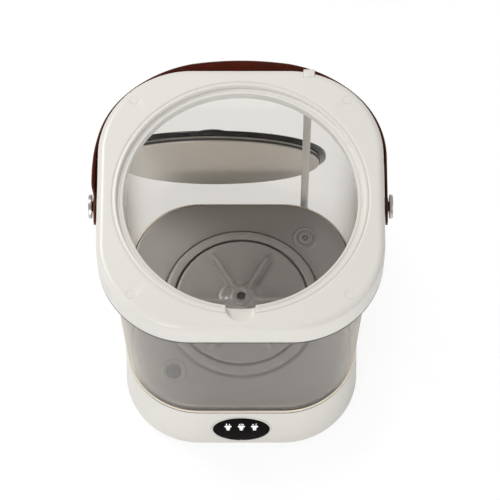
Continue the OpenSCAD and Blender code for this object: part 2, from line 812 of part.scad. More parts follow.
module gearbox_housing() {
  color(nylon)
    difference() {
      union() {
        bar(housing_r, housing_z, housing_top - housing_z);
        translate([0, motor_y]) bar(motor_r + 2, housing_z, housing_top - housing_z);
        bar(bearing_r + boss_wall, housing_z - bearing_w + 1.6, bearing_w);
        for (p = lug_spots)
          translate(p) bar(mount_lug_r, housing_top - 3, 3, small_fn);
        translate([-mount_lug_r, motor_y, housing_top - 3]) cube([2 * mount_lug_r, motor_r + 6, 3]);
      }
      bar(housing_r - housing_wall, housing_floor, 60);
      translate([0, motor_y]) bar(motor_r - 0.5, housing_floor, 60);
      bar(bearing_r, lower_bearing_z, 40);
      bar(shaft_r + 2, housing_z - 20, 40);
      translate([0, motor_y]) bar(4.2, housing_z - 1, 10, small_fn);
      for (x = [-motor_screw_x, motor_screw_x]) translate([x, motor_y]) bar(1.6, housing_z - 1, 10, small_fn);
      for (p = lug_spots) translate(p) bar(pass_r, housing_top - 5, 10, small_fn);
    }
}

lower_bearing_z = housing_z - bearing_w + 3;

module gearbox_screws() {
  color(steel)
    for (p = lug_spots)
      translate([p.x, p.y, housing_top - 3 - 2.2]) screw_up(2.9, 2.2, screw_r, 9);
}

module ball_bearing(z) {
  mid = (bearing_r + shaft_r) / 2;
  tube(bearing_r - 0.01, mid + 1.6, z, bearing_w);
  tube(mid - 1.6, shaft_r + run_gap, z, bearing_w);
  tube(mid + 1.6 + eps, mid - 1.6 - eps, z + 0.6, bearing_w - 1.2);
}

module lower_bearing() {
  color(steel) ball_bearing(lower_bearing_z);
}

module upper_bearing() {
  color(steel) ball_bearing(upper_bearing_z);
}

module shaft_seal() {
  color(rubber_grey) tube(bearing_r - 0.01, shaft_r + run_gap, seal_z, 5.6);
}

can_top = housing_z;
can_h = 35;
can_z = can_top - can_h;
endcap_h = 3.5;

module motor_can() {
  color(steel)
    translate([0, motor_y])
      difference() {
        bar(motor_r - 0.1, can_z, can_h);
        bar(motor_r - 1.6, can_z - 1, can_h - 1);
        bar(motor_shaft_r + run_gap, can_z, can_h + 1, small_fn);
        for (x = [-motor_screw_x, motor_screw_x]) translate([x, 0]) bar(1.5, can_top - 3, 5, small_fn);
      }
}

module motor_magnets() {
  color(rubber_grey)
    translate([0, motor_y])
      difference() {
        tube(motor_r - 1.65, motor_r - 5, can_z + 3, can_h - 8);
        translate([-20, -3, can_z]) cube([40, 6, can_h]);
      }
}

module motor_endcap() {
  color(black_gloss)
    translate([0, motor_y])
      difference() {
        union() {
          bar(motor_r - 0.1, can_z - endcap_h, endcap_h);
          bar(motor_r - 1.65, can_z - eps, 2 + eps);
        }
        bar(motor_shaft_r + run_gap, can_z - 1.5, 10, small_fn);
      }
}

module motor_screws() {
  color(steel)
    for (x = [-motor_screw_x, motor_screw_x])
      translate([x, motor_y]) {
        bar(2.6, housing_floor, 1.8, small_fn);
        bar(1.4, can_top - 2.8, housing_floor - can_top + 2.8 + eps, small_fn);
      }
}

// ---------------------------------------------------------------- pulsator body
module pulsator_disc() {
  cone_top = hub_top - 2;
  color(smoke_plastic)
    difference() {
      union() {
        rotate_extrude()
          polygon([[0, disc_z], [pulsator_r - 1, disc_z], [pulsator_r, disc_z + 1], [pulsator_r, disc_top - 0.8],
            [pulsator_r - 0.8, disc_top], [hub_r + 12, disc_top], [hub_r + 6, disc_top + 2.5],
            [hub_r + 1.2, cone_top - 1], [hub_r, cone_top], [0, cone_top]]);
        for (a = [0:360 / vane_count:359])
          rotate(a) translate([hub_r + 2, -2.2, disc_top - eps]) cube([pulsator_r - hub_r - 8, 4.4, 5]);
      }
      bar(shaft_r, disc_z - 1, hub_top - 4.8 - disc_z + 1);
      bar(shaft_r, disc_z, 40);
    }
}

module hub_cap() {
  color(smoke_plastic) tube(hub_r, shaft_r, hub_top - 2, 2);
}

module pulsator_screw() {
  color(steel) {
    bar(shaft_r - 0.4, hub_top - 4.8, 2.2, small_fn);
    bar(1.9, hub_top - 13, 8.2 + eps, small_fn);
  }
}

module pulsator_shaft() {
  color(steel)
    difference() {
      bar(shaft_r, lower_bearing_z, hub_top - 4.8 - lower_bearing_z);
      bar(2, hub_top - 13.5, 20, small_fn);
    }
}

module drive_gear() {
  color(nylon)
    difference() {
      union() {
        translate([0, 0, gear_z]) linear_extrude(gear_w) polygon(gear_points(drive_teeth));
        bar(shaft_r + 4, gear_z - 1.5, gear_w + 3);
      }
      bar(shaft_r, gear_z - 10, 40);
    }
}

module circlip() {
  color(steel)
    difference() {
      tube(shaft_r + 2.6, shaft_r + eps, upper_bearing_z - 1.4, 1);
      translate([0, -1, upper_bearing_z - 3]) cube([20, 2, 10]);
    }
}

// ---------------------------------------------------------------- rotor body
module motor_shaft() {
  color(steel)
    translate([0, motor_y]) bar(motor_shaft_r, can_z - 1.2, gear_z + gear_w + 1 - can_z + 1.2, small_fn);
}

module rotor_core() {
  color(steel)
    translate([0, motor_y]) tube(motor_r - 6, motor_shaft_r, can_z + 4, can_h - 10);
}

module pinion_gear() {
  color(steel)
    translate([0, motor_y, gear_z])
      difference() {
        linear_extrude(gear_w) rotate(270) polygon(gear_points(pinion_teeth));
        bar(motor_shaft_r, -1, gear_w + 2, small_fn);
      }
}

// ---------------------------------------------------------------- lid body
// The lid's own frame: its top faces +Z. It stands on its edge and leans on the back of the tub.
module in_lid_frame() {
  lid_x = hose_x - liner_r + lid_past_hose;
  reach = liner_r * cos(lid_stand) + liner_t * sin(lid_stand);
  touch_z = lid_r * sin(lid_stand) + liner_r * sin(lid_stand) - liner_t * cos(lid_stand);
  translate([lid_x, tub_half_at(touch_z) + 0.3 + reach, lid_r * sin(lid_stand) + 0.2])
    rotate([-lid_stand, 0, 0]) children();
}

module lid_disc() {
  tab_r = notch_r - 1;
  color(black_gloss)
    in_lid_frame() {
      rotate_extrude()
        polygon([[0, 0], [lid_r - 0.6, 0], [lid_r, 0.6], [lid_r, lid_t - 1], [lid_r - 1, lid_t], [0, lid_t]]);
      translate([0, -(lid_r + 5.5 - tab_r)]) bar(tab_r, 0.4, lid_t - 1.2);
    }
}

module lid_liner() {
  color(white_plastic)
    in_lid_frame()
      difference() {
        bar(liner_r, -liner_t, liner_t);
        tube(liner_r + 1, liner_r - 1.2, -liner_t + 1.4, 1.8);
      }
}

module lid_seal() {
  color(rubber_grey) in_lid_frame() tube(liner_r + 0.9, liner_r - 1.2, -liner_t + 1.4, 1.8);
}

base_shell();
bottom_cover();
rubber_feet();
bottom_screws();
trim_ring();
tub_floor();
tub_gasket();
tub_wall();
floor_screws();
drain_strainer();
level_sensor();
rim_gasket();
collar_shell();
collar_screws();
screw_caps();
lid_seat_ring();
stud_posts();
stud_heads();
strap_washers();
hose_clip();
hose_plug();
drain_hose();
drain_elbow();
drain_tube();
dc_jack();
panel_bezel();
panel_lens();
touch_spacer();
touch_board();
control_board();
board_parts();
wire_harness();
gearbox_housing();
gearbox_screws();
lower_bearing();
upper_bearing();
shaft_seal();
motor_can();
motor_magnets();
motor_endcap();
motor_screws();
pulsator_disc();
hub_cap();
pulsator_screw();
pulsator_shaft();
drive_gear();
circlip();
motor_shaft();
rotor_core();
pinion_gear();
handle_strap();
strap_eyelets();
lid_disc();
lid_liner();
lid_seal();
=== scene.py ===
"""Looks of a portable mini washer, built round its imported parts.

Lengths in this file are millimetres unless a name says otherwise; meshes are made in metres.
"""

import json
import logging
import math
from abc import ABC, abstractmethod
from collections.abc import Iterable, Sequence
from dataclasses import dataclass, field
from enum import Enum

import bmesh
import bpy
import numpy as np
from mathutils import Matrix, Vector


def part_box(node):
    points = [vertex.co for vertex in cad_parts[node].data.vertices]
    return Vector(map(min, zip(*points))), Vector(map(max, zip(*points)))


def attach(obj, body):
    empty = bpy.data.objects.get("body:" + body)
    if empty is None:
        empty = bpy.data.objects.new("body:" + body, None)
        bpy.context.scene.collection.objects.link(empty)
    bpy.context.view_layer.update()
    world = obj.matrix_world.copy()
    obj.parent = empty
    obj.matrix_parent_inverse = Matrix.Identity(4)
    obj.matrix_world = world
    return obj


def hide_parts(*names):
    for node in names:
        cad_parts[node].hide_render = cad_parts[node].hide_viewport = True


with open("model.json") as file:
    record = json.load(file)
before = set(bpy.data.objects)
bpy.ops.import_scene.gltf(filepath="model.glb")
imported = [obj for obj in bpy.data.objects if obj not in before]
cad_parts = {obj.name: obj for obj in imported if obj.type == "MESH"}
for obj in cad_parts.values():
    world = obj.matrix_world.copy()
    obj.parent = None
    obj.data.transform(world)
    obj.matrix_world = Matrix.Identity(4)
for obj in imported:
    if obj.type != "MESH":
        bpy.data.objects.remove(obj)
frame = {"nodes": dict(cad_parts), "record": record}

LOG = logging.getLogger("mini_washer")
MM = 0.001

# Points of a cut mesh closer than this, in millimetres, are one point.
MELD = 0.01
# Cosine between a point's two edges below which they make one straight edge.
STRAIGHT = -0.9999
# Angle in degrees above which an edge of a moulded piece stays sharp.
CREASE = 32.0
# Turn of a tool that stands as it was made.
UPRIGHT = np.eye(3)

Array = np.ndarray
Colour = tuple[float, float, float]
Spot = Sequence[float]


class Finish(Enum):
    """The finishes of the washer's pieces, by the record's slot names."""

    WHITE_SHELL = "white_shell"
    CREAM_TRIM = "cream_trim"
    CLEAR_TUB = "clear_tub"
    SMOKE = "smoke_plastic"
    BLACK_GLOSS = "black_gloss"
    BLACK_PLASTIC = "black_plastic"
    RUBBER = "rubber_grey"
    LEATHER = "strap_leather"
    STEEL = "steel"
    ZINC = "zinc_steel"
    NYLON = "nylon"
    BOARD = "board_green"
    HOSE = "hose_clear"


class Cut(Enum):
    """How a tool changes the piece it is used on."""

    AWAY = "DIFFERENCE"
    JOIN = "UNION"


# ---------------------------------------------------------------- shader maths


class Value:
    """An output socket whose operators add Math nodes to its material."""

    def __init__(self, shade: "Shade", socket: bpy.types.NodeSocket) -> None:
        """Keep the material and the socket."""
        self.shade = shade
        self.socket = socket

    def math(self, operation: str, *others: "Value | float", flip: bool = False) -> "Value":
        """Add one Math node.

        Args:
            operation: the Math node's operation.
            others: its other inputs.
            flip: put this value second.

        Returns:
            The node's output.
        """
        values = [self, *others]
        if flip:
            values.reverse()
        node = self.shade.node("ShaderNodeMath", {"operation": operation}, dict(enumerate(values)))
        return Value(self.shade, node.outputs[0])

    def __add__(self, other: "Value | float") -> "Value":
        """Sum."""
        return self.math("ADD", other)

    def __radd__(self, other: float) -> "Value":
        """Sum, number first."""
        return self.math("ADD", other, flip=True)

    def __sub__(self, other: "Value | float") -> "Value":
        """Difference."""
        return self.math("SUBTRACT", other)

    def __rsub__(self, other: float) -> "Value":
        """Difference, number first."""
        return self.math("SUBTRACT", other, flip=True)

    def __mul__(self, other: "Value | float") -> "Value":
        """Product."""
        return self.math("MULTIPLY", other)

    def __rmul__(self, other: float) -> "Value":
        """Product, number first."""
        return self.math("MULTIPLY", other, flip=True)

    def __abs__(self) -> "Value":
        """Size without sign."""
        return self.math("ABSOLUTE")

    def step(self, low: float, high: float) -> "Value":
        """Smooth step.

        Args:
            low: where it is still 0.
            high: where it has reached 1.

        Returns:
            The stepped value.
        """
        settings = {"interpolation_type": "SMOOTHSTEP"}
        node = self.shade.node("ShaderNodeMapRange", settings, {"Value": self, "From Min": low, "From Max": high})
        return Value(self.shade, node.outputs[0])


class Shade:
    """The node tree of one material or of the world."""

    def __init__(self, owner: bpy.types.Material | bpy.types.World) -> None:
        """Empty the owner's node tree.

        Args:
            owner: the material or world to fill.
        """
        owner.use_nodes = True
        self.tree = owner.node_tree
        self.tree.nodes.clear()
        self.kind = "World" if isinstance(owner, bpy.types.World) else "Material"

    def node(self, kind: str, settings: dict | None = None, inputs: dict | None = None) -> bpy.types.Node:
        """Add a node.

        Args:
            kind: the node's type name.
            settings: its properties, set before its sockets.
            inputs: values or links by the socket's name or number.

        Returns:
            The node.
        """
        node = self.tree.nodes.new(kind)
        for name, value in (settings or {}).items():
            setattr(node, name, value)
        for key, value in (inputs or {}).items():
            if isinstance(value, Value):
                self.tree.links.new(value.socket, node.inputs[key])
            else:
                node.inputs[key].default_value = value
        return node

    def get(self, kind: str, output: str | int, settings: dict | None = None, inputs: dict | None = None) -> Value:
        """Add a node and take one of its outputs."""
        return Value(self, self.node(kind, settings, inputs).outputs[output])

    def place(self, scale: tuple[float, float, float] = (1, 1, 1)) -> Value:
        """Object coordinates in metres, stretched by scale along each axis."""
        spot = self.get("ShaderNodeTexCoord", "Object")
        return self.get("ShaderNodeMapping", "Vector", inputs={"Vector": spot, "Scale": scale})

    def noise(self, scale: float, detail: float = 2.0, place: Value | None = None) -> Value:
        """Fractal noise round 0.5.

        Args:
            scale: its cells per metre.
            detail: its number of octaves.
            place: its coordinates, or None for the object's own.

        Returns:
            The noise.
        """
        inputs = {"Vector": place or self.place(), "Scale": scale, "Detail": detail}
        return self.get("ShaderNodeTexNoise", 0, inputs=inputs)

    def cells(self, scale: float) -> Value:
        """Distance to the nearest cell edge of a Voronoi pattern with this many cells per metre."""
        inputs = {"Vector": self.place(), "Scale": scale}
        return self.get("ShaderNodeTexVoronoi", "Distance", {"feature": "DISTANCE_TO_EDGE"}, inputs)

    def blend(self, factor: Value | float, first: "Value | Colour", second: "Value | Colour") -> Value:
        """Mix two colours.

        Args:
            factor: the second colour's share.
            first: the colour at 0.
            second: the colour at 1.

        Returns:
            The mixed colour.
        """
        ends = [c if isinstance(c, Value) else (*c, 1.0) for c in (first, second)]
        return self.get("ShaderNodeMix", 2, {"data_type": "RGBA"}, {0: factor, 6: ends[0], 7: ends[1]})

    def bump(self, height: Value, depth: float, strength: float) -> Value:
        """Normal of a surface raised by height times depth in metres."""
        return self.get("ShaderNodeBump", 0, inputs={"Height": height, "Distance": depth, "Strength": strength})

    def surface(self, shader: Value) -> None:
        """Show this shader."""
        self.node(f"ShaderNodeOutput{self.kind}", inputs={"Surface": shader})

    def principled(self, **inputs: "Value | float | tuple") -> Value:
        """Principled shader whose inputs are given by name with _ for a space."""
        named = {key.replace("_", " "): value for key, value in inputs.items()}
        return self.get("ShaderNodeBsdfPrincipled", 0, inputs=named)

    def mix_shaders(self, factor: Value | float, first: Value, second: Value) -> Value:
        """Mix two shaders by factor."""
        return self.get("ShaderNodeMixShader", 0, inputs={0: factor, 1: first, 2: second})

    def seen(self) -> Value:
        """Tell what is looked at from what is only lit.

        Returns:
            1 for rays from the camera and through glass, and 0 for the rest.
        """
        path = self.node("ShaderNodeLightPath")
        camera, through = (Value(self, path.outputs[name]) for name in ("Is Camera Ray", "Is Transmission Ray"))
        return camera.math("MAXIMUM", through)


# ---------------------------------------------------------------- finishes


def dimmed(colour: Colour, share: float) -> Colour:
    """Colour with each of its channels times share."""
    return tuple(c * share for c in colour)


class Recipe(ABC):
    """How a finish's material is made."""

    def make(self, name: str) -> bpy.types.Material:
        """Build the material.

        Args:
            name: its name.

        Returns:
            The material.
        """
        material = bpy.data.materials.new(name)
        self.fill(Shade(material))
        return material

    @abstractmethod
    def fill(self, shade: Shade) -> None:
        """Add the finish's nodes.

        Args:
            shade: the material's empty node tree.
        """


@dataclass(frozen=True)
class Moulded(Recipe):
    """Moulded plastic, rubber or nylon: a fine spark-eroded grain, a slow drift of tone and a soft sheen."""

    colour: Colour
    drift: float = 0.03
    roughness: float = 0.36
    drift_per_m: float = 14.0
    grain_per_m: float = 1400.0
    grain_depth_m: float = 0.00004
    coat: float = 0.0
    coat_roughness: float = 0.12

    def fill(self, shade: Shade) -> None:
        """Mix drift and grain into the tone and the roughness, and raise the grain.

        Args:
            shade: the material's empty node tree.
        """
        slow = shade.noise(self.drift_per_m, 2.0)
        grain = shade.noise(self.grain_per_m, 3.0)
        tone = slow * 0.8 + grain * 0.2
        shade.surface(shade.principled(
            Base_Color=shade.blend(tone, dimmed(self.colour, 1 - 2 * self.drift), self.colour),
            Roughness=slow * 0.08 + grain * 0.06 + (self.roughness - 0.07),
            Coat_Weight=self.coat,
            Coat_Roughness=self.coat_roughness,
            Normal=shade.bump(grain, self.grain_depth_m, 0.6)))


@dataclass(frozen=True)
class ClearMoulding(Recipe):
    """Clear moulded plastic that lets lamplight through to what it holds; where its wall is seen edge on, its colour
    is darkened by painted shade and mixed with a painted warm, pale band, for the light that its thick rims bend and
    reflect.
    """

    tint: Colour = (0.79, 0.768, 0.738)
    # painted shade: the colour that the wall's rims darken to where they are seen edge on
    edge_on_painted_shade: Colour = (0.27, 0.24, 0.195)
    light_through: Colour = (0.90, 0.89, 0.875)
    # painted pale band for the light that the thick rims bend and reflect
    edge_on_painted_band: Colour = (0.67, 0.615, 0.535)
    painted_band_share: float = 0.7
    roughness: float = 0.02
    index: float = 1.2
    flow_per_m: float = 22.0
    flow_depth_m: float = 0.0004

    def fill(self, shade: Shade) -> None:
        """Glass for the eye, with painted shade and a painted pale band where it is seen edge on, and a plain filter
        for the lamps' shadows.

        Args:
            shade: the material's empty node tree.
        """
        flow = shade.noise(self.flow_per_m, 2.0, shade.place((1, 1, 0.35)))
        turned = shade.get("ShaderNodeLayerWeight", "Facing", inputs={0: 0.5})
        glass = shade.principled(
            Base_Color=shade.blend(turned.step(0.6, 0.9), self.tint, self.edge_on_painted_shade),
            Roughness=self.roughness,
            IOR=self.index,
            Transmission_Weight=1.0,
            Normal=shade.bump(flow, self.flow_depth_m, 0.25))
        painted_band = shade.get("ShaderNodeBsdfDiffuse", 0, inputs={0: (*self.edge_on_painted_band, 1)})
        clear = shade.get("ShaderNodeBsdfTransparent", 0, inputs={0: (*self.light_through, 1)})
        shadow = shade.get("ShaderNodeLightPath", "Is Shadow Ray")
        # painted shade and painted pale band, mixed in by how far the wall turns from the eye
        body = shade.mix_shaders(turned.step(0.72, 0.99) * self.painted_band_share, glass, painted_band)
        shade.surface(shade.mix_shaders(shadow, body, clear))


@dataclass(frozen=True)
class Gloss(Recipe):
    """Polished hard surface under a clear coat, with the faint haze that handling leaves."""

    colour: Colour
    roughness: float = 0.07
    mirror: float = 0.3
    haze_per_m: float = 38.0
    haze_lift: float = 0.004
    coat_roughness: float = 0.03

    def fill(self, shade: Shade) -> None:
        """Lift the colour and the roughness where the haze lies.

        Args:
            shade: the material's empty node tree.
        """
        haze = shade.noise(self.haze_per_m, 4.0).step(0.45, 0.8)
        lifted = tuple(c + self.haze_lift for c in self.colour)
        shade.surface(shade.principled(
            Base_Color=shade.blend(haze, self.colour, lifted),
            Roughness=haze * 0.06 + self.roughness,
            Specular_IOR_Level=self.mirror,
            Coat_Weight=self.mirror / 2,
            Coat_Roughness=self.coat_roughness))


@dataclass(frozen=True)
class Brushed(Recipe):
    """Metal with fine brush lines along one direction."""

    colour: Colour
    roughness: float = 0.28
    stretch: tuple[float, float, float] = (1.0, 0.06, 1.0)
    lines_per_m: float = 2600.0
    line_depth_m: float = 0.00002
    patches_per_m: float = 60.0
    darkest: float = 0.82

    def fill(self, shade: Shade) -> None:
        """Mix brush lines and slow patches into the tone and the roughness.

        Args:
            shade: the material's empty node tree.
        """
        lines = shade.noise(self.lines_per_m, 2.0, shade.place(self.stretch))
        patch = shade.noise(self.patches_per_m, 2.0)
        shade.surface(shade.principled(
            Base_Color=shade.blend(lines * 0.7 + patch * 0.3, dimmed(self.colour, self.darkest), self.colour),
            Metallic=1.0,
            Roughness=lines * 0.16 + patch * 0.05 + (self.roughness - 0.1),
            Normal=shade.bump(lines, self.line_depth_m, 0.5)))


@dataclass(frozen=True)
class Leather(Recipe):
    """Strap leather: tan outside and darker and redder inside, the inside's darkness being painted shade of the face
    that turns towards the collar, with pores, a creased line and burnished edges.

    It reads the strap's UV map, whose U runs along the strap in metres and whose V crosses it from 0 to 1,
    and its attribute "outside", which is 1 on the outer face. The crease and the burnished border lie at
    shares of the strap's width from its edges.
    """

    outside: Colour = (0.42, 0.155, 0.045)
    # painted shade: the inside face is coloured darker for the shade that it lies in
    inside: Colour = (0.21, 0.022, 0.006)
    burnish: Colour = (0.07, 0.02, 0.011)
    pores_per_m: float = 1500.0
    mottle_per_m: float = 55.0
    fibres_per_m: float = 900.0
    crease_at: float = 0.085
    crease_half: float = 0.022
    border: float = 0.075
    depth_m: float = 0.00022

    def fill(self, shade: Shade) -> None:
        """Tone the two faces, wear them, burnish the borders and raise pores, fibres and crease.

        Args:
            shade: the material's empty node tree.
        """
        across = shade.get("ShaderNodeSeparateXYZ", 1, inputs={0: shade.get("ShaderNodeTexCoord", "UV")})
        outside = shade.get("ShaderNodeAttribute", "Fac", {"attribute_name": "outside"})
        from_edge = 0.5 - abs(across - 0.5)
        pores = shade.cells(self.pores_per_m).step(0.0, 0.35)
        mottle = shade.noise(self.mottle_per_m, 4.0)
        fibre = shade.noise(self.fibres_per_m, 3.0, shade.place((0.4, 0.4, 1)))
        crease = abs(from_edge - self.crease_at).step(0.0, self.crease_half)
        # painted shade: the face turned towards the collar takes the darker inside colour
        face = shade.blend(outside, self.inside, self.outside)
        worn = shade.blend(mottle.step(0.3, 0.75) * 0.45, face, self.burnish)
        edge = (1 - from_edge.step(0.0, self.border)) * 0.85
        toned = shade.blend(edge, worn, self.burnish)
        height = pores * 0.35 + fibre * 0.35 + crease * 0.8
        shade.surface(shade.principled(
            Base_Color=shade.blend((1 - pores) * 0.35, toned, self.burnish),
            Roughness=0.44 + mottle * 0.16 + (1 - pores) * 0.1,
            Specular_IOR_Level=0.15,
            Normal=shade.bump(height, self.depth_m, 0.7)))


@dataclass(frozen=True)
class Milky(Recipe):
    """Milky flexible tube that glows a little with the light behind it."""

    colour: Colour = (0.80, 0.80, 0.79)
    clouds_per_m: float = 120.0
    darkest: float = 0.9
    light_through: float = 0.15

    def fill(self, shade: Shade) -> None:
        """Cloud the tone and the roughness.

        Args:
            shade: the material's empty node tree.
        """
        cloud = shade.noise(self.clouds_per_m, 3.0)
        shade.surface(shade.principled(
            Base_Color=shade.blend(cloud, dimmed(self.colour, self.darkest), self.colour),
            Roughness=cloud * 0.1 + 0.3,
            Transmission_Weight=self.light_through,
            IOR=1.41))


@dataclass(frozen=True)
class LitInk(Recipe):
    """White print lit from behind."""

    colour: Colour = (0.9, 0.9, 0.88)
    glow: float = 0.55
    specks_per_m: float = 2600.0
    darkest: float = 0.85

    def fill(self, shade: Shade) -> None:
        """Speckle the print and its glow alike.

        Args:
            shade: the material's empty node tree.
        """
        speck = shade.noise(self.specks_per_m, 2.0).step(0.2, 0.6)
        tone = shade.blend(speck, dimmed(self.colour, self.darkest), self.colour)
        shade.surface(shade.principled(
            Base_Color=tone,
            Roughness=speck * 0.1 + 0.4,
            Emission_Color=tone,
            Emission_Strength=self.glow))


@dataclass
class Palette:
    """Every finish of the washer, made once and handed out by name."""

    recipes: dict[Finish, Recipe] = field(default_factory=lambda: {
        Finish.WHITE_SHELL: Moulded((0.80, 0.772, 0.722), roughness=0.34, coat=0.1),
        Finish.CREAM_TRIM: Moulded((0.86, 0.78, 0.645), roughness=0.32),
        Finish.CLEAR_TUB: ClearMoulding(),
        Finish.SMOKE: Moulded((0.205, 0.192, 0.180), drift=0.05, roughness=0.3, coat=0.15,
                              grain_depth_m=0.00002),
        Finish.BLACK_GLOSS: Gloss((0.008, 0.008, 0.009)),
        Finish.BLACK_PLASTIC: Moulded((0.03, 0.03, 0.032), drift=0.1, roughness=0.45),
        Finish.RUBBER: Moulded((0.07, 0.07, 0.072), drift=0.1, roughness=0.68, grain_depth_m=0.00006),
        Finish.LEATHER: Leather(),
        Finish.STEEL: Brushed((0.66, 0.65, 0.63)),
        Finish.ZINC: Brushed((0.55, 0.56, 0.58), roughness=0.38),
        Finish.NYLON: Moulded((0.76, 0.745, 0.70), roughness=0.4),
        Finish.BOARD: Moulded((0.012, 0.11, 0.045), drift=0.12, roughness=0.3, coat=0.4),
        Finish.HOSE: Milky(),
    })
    made: dict[Finish, bpy.types.Material] = field(default_factory=dict)

    def material(self, finish: Finish) -> bpy.types.Material:
        """Material of a finish, built on first use."""
        if finish not in self.made:
            self.made[finish] = self.recipes[finish].make(finish.value)
        return self.made[finish]


PALETTE = Palette()


# ---------------------------------------------------------------- shapes


def rounded_square(half: float, radius: float, corner: int = 32, side: int = 24) -> Array:
    """Outline of a square with rounded corners: in each quarter an arc about the corner's centre, then a side.

    Args:
        half: half of its width.
        radius: its corner radius.
        corner: the points on each arc.
        side: the points on each straight side.

    Returns:
        Points in the plane, counter-clockwise, as an array of (points, 2).
    """
    angle = np.linspace(0, np.pi / 2, corner)
    arc = np.stack([np.cos(angle), np.sin(angle)], 1) * radius + (half - radius)
    share = np.arange(1, side + 1)[:, None] / (side + 1)
    straight = arc[-1] + share * 2 * np.array([radius - half, 0.0])
    quarter = np.concatenate([arc, straight])
    turns = [np.array([[1, 0], [0, 1]]), np.array([[0, 1], [-1, 0]])]
    turns += [-turns[0], -turns[1]]
    return np.concatenate([quarter @ turn for turn in turns])


def outline(half: float, radius: float, z: float) -> Array:
    """Rounded square at height z, as an array of (points, 3)."""
    flat = rounded_square(half, radius)
    return np.column_stack([flat, np.full(len(flat), z)])


def round_outline(radius: float, z: float, like: Array) -> Array:
    """Circle at height z whose points lie at the same angles as those of another outline.

    Args:
        radius: the circle's radius.
        z: its height.
        like: the outline that gives the angles.

    Returns:
        Points as an array of (points, 3).
    """
    angle = np.arctan2(like[:, 1], like[:, 0])
    return np.column_stack([np.cos(angle) * radius, np.sin(angle) * radius, np.full(len(like), z)])


def quarter_round(centre: tuple[float, float], radius: float, start: float, end: float, count: int = 6) -> Array:
    """Arc of a profile, from angle start to angle end in degrees, as an array of (points, 2)."""
    angle = np.radians(np.linspace(start, end, count))
    return np.stack([np.cos(angle), np.sin(angle)], 1) * radius + np.array(centre)


def circle(count: int) -> tuple[Array, Array]:
    """Cosines and sines of this many angles spread evenly over a turn."""
    turn = np.linspace(0, 2 * np.pi, count, endpoint=False)
    return np.cos(turn), np.sin(turn)


def spun(profile: Sequence | Array, segments: int) -> Array:
    """Rings of a profile turned about the Z axis.

    Args:
        profile: (radius, z) pairs.
        segments: the points on each ring.

    Returns:
        Rings as an array of (profile points, segments, 3): x = r cos a, y = r sin a, z = z.
    """
    r, z = np.asarray(profile, float).T
    angle = np.arange(segments) * 2 * np.pi / segments
    ring = np.stack([np.cos(angle), np.sin(angle)], 1)
    flat = r[:, None, None] * ring[None]
    return np.concatenate([flat, np.broadcast_to(z[:, None, None], (*flat.shape[:2], 1))], 2)


def signed_volume(points: Array, faces: Array) -> float:
    """Volume inside quads, negative where they face inwards: the sum of a . (b x c) over their triangles, by six."""
    a, b, c, d = (points[faces[:, k]] for k in range(4))
    return float(np.einsum("ij,ij->i", a, np.cross(b, c) + np.cross(c, d)).sum() / 6)


def as_mesh(name: str, points: Array, faces: Array, caps: Iterable[Sequence[int]] = (), crease: float = CREASE
            ) -> bpy.types.Object:
    """Make a piece from points in millimetres.

    Args:
        name: the piece's name.
        points: its points, (n, 3).
        faces: its quads, (m, 4).
        caps: faces with more corners that close its ends.
        crease: the angle in degrees above which an edge stays sharp.

    Returns:
        The piece, smooth shaded, in metres, at the origin.
    """
    mesh = bpy.data.meshes.new(name)
    mesh.from_pydata((points * MM).tolist(), [], [*faces.tolist(), *[list(c) for c in caps]])
    mesh.validate()
    piece = bpy.data.objects.new(name, mesh)
    bpy.context.scene.collection.objects.link(piece)
    smooth(piece, crease)
    return piece


def smooth(piece: bpy.types.Object, crease: float) -> None:
    """Shade a piece smooth, with edges above the crease angle in degrees kept sharp."""
    piece.data.shade_smooth()
    piece.data.set_sharp_from_angle(angle=math.radians(crease))


def skin(name: str, rings: Array, hollow: bool = False, crease: float = CREASE) -> bpy.types.Object:
    """Closed piece through a stack of rings with equal numbers of points.

    Args:
        name: the piece's name.
        rings: (rings, points, 3).
        hollow: join the last ring to the first, as round a tube's wall, rather than cap both ends.
        crease: the angle in degrees above which an edge stays sharp.

    Returns:
        The piece, with its faces outwards.
    """
    count, n, _ = rings.shape
    rows = np.arange(count if hollow else count - 1)[:, None]
    along = np.arange(n)[None]
    after, beside = (rows + 1) % count, (along + 1) % n
    quads = np.stack([rows * n + along, rows * n + beside, after * n + beside, after * n + along], -1).reshape(-1, 4)
    points = rings.reshape(-1, 3)
    caps = [] if hollow else [list(range(n))[::-1], list(range((count - 1) * n, count * n))]
    middle = points - points.mean(0)
    closed = quads
    if not hollow:
        fans = [np.stack([np.full(n - 2, c[0]), c[1:-1], c[2:], c[2:]], 1) for c in map(np.array, caps)]
        closed = np.concatenate([quads, *fans])
    if signed_volume(middle, closed) < 0:
        quads, caps = quads[:, ::-1], [c[::-1] for c in caps]
    return as_mesh(name, points, quads, caps, crease)


def idle(point: bmesh.types.BMVert) -> bool:
    """Tell whether a point only interrupts a straight edge between two faces.

    Args:
        point: the point.

    Returns:
        True if it has two edges that make one straight line.
    """
    if len(point.link_edges) != 2:
        return False
    one, two = ((edge.other_vert(point).co - point.co).normalized() for edge in point.link_edges)
    return one.dot(two) < STRAIGHT


def clean(mesh: bpy.types.Mesh) -> None:
    """Merge a cut mesh's almost equal points and drop those that interrupt straight edges.

    Args:
        mesh: the mesh that is changed.
    """
    form = bmesh.new()
    form.from_mesh(mesh)
    bmesh.ops.remove_doubles(form, verts=form.verts, dist=MELD * MM)
    bmesh.ops.dissolve_degenerate(form, edges=form.edges, dist=MELD * MM)
    bmesh.ops.dissolve_verts(form, verts=[point for point in form.verts if idle(point)])
    form.to_mesh(mesh)
    form.free()


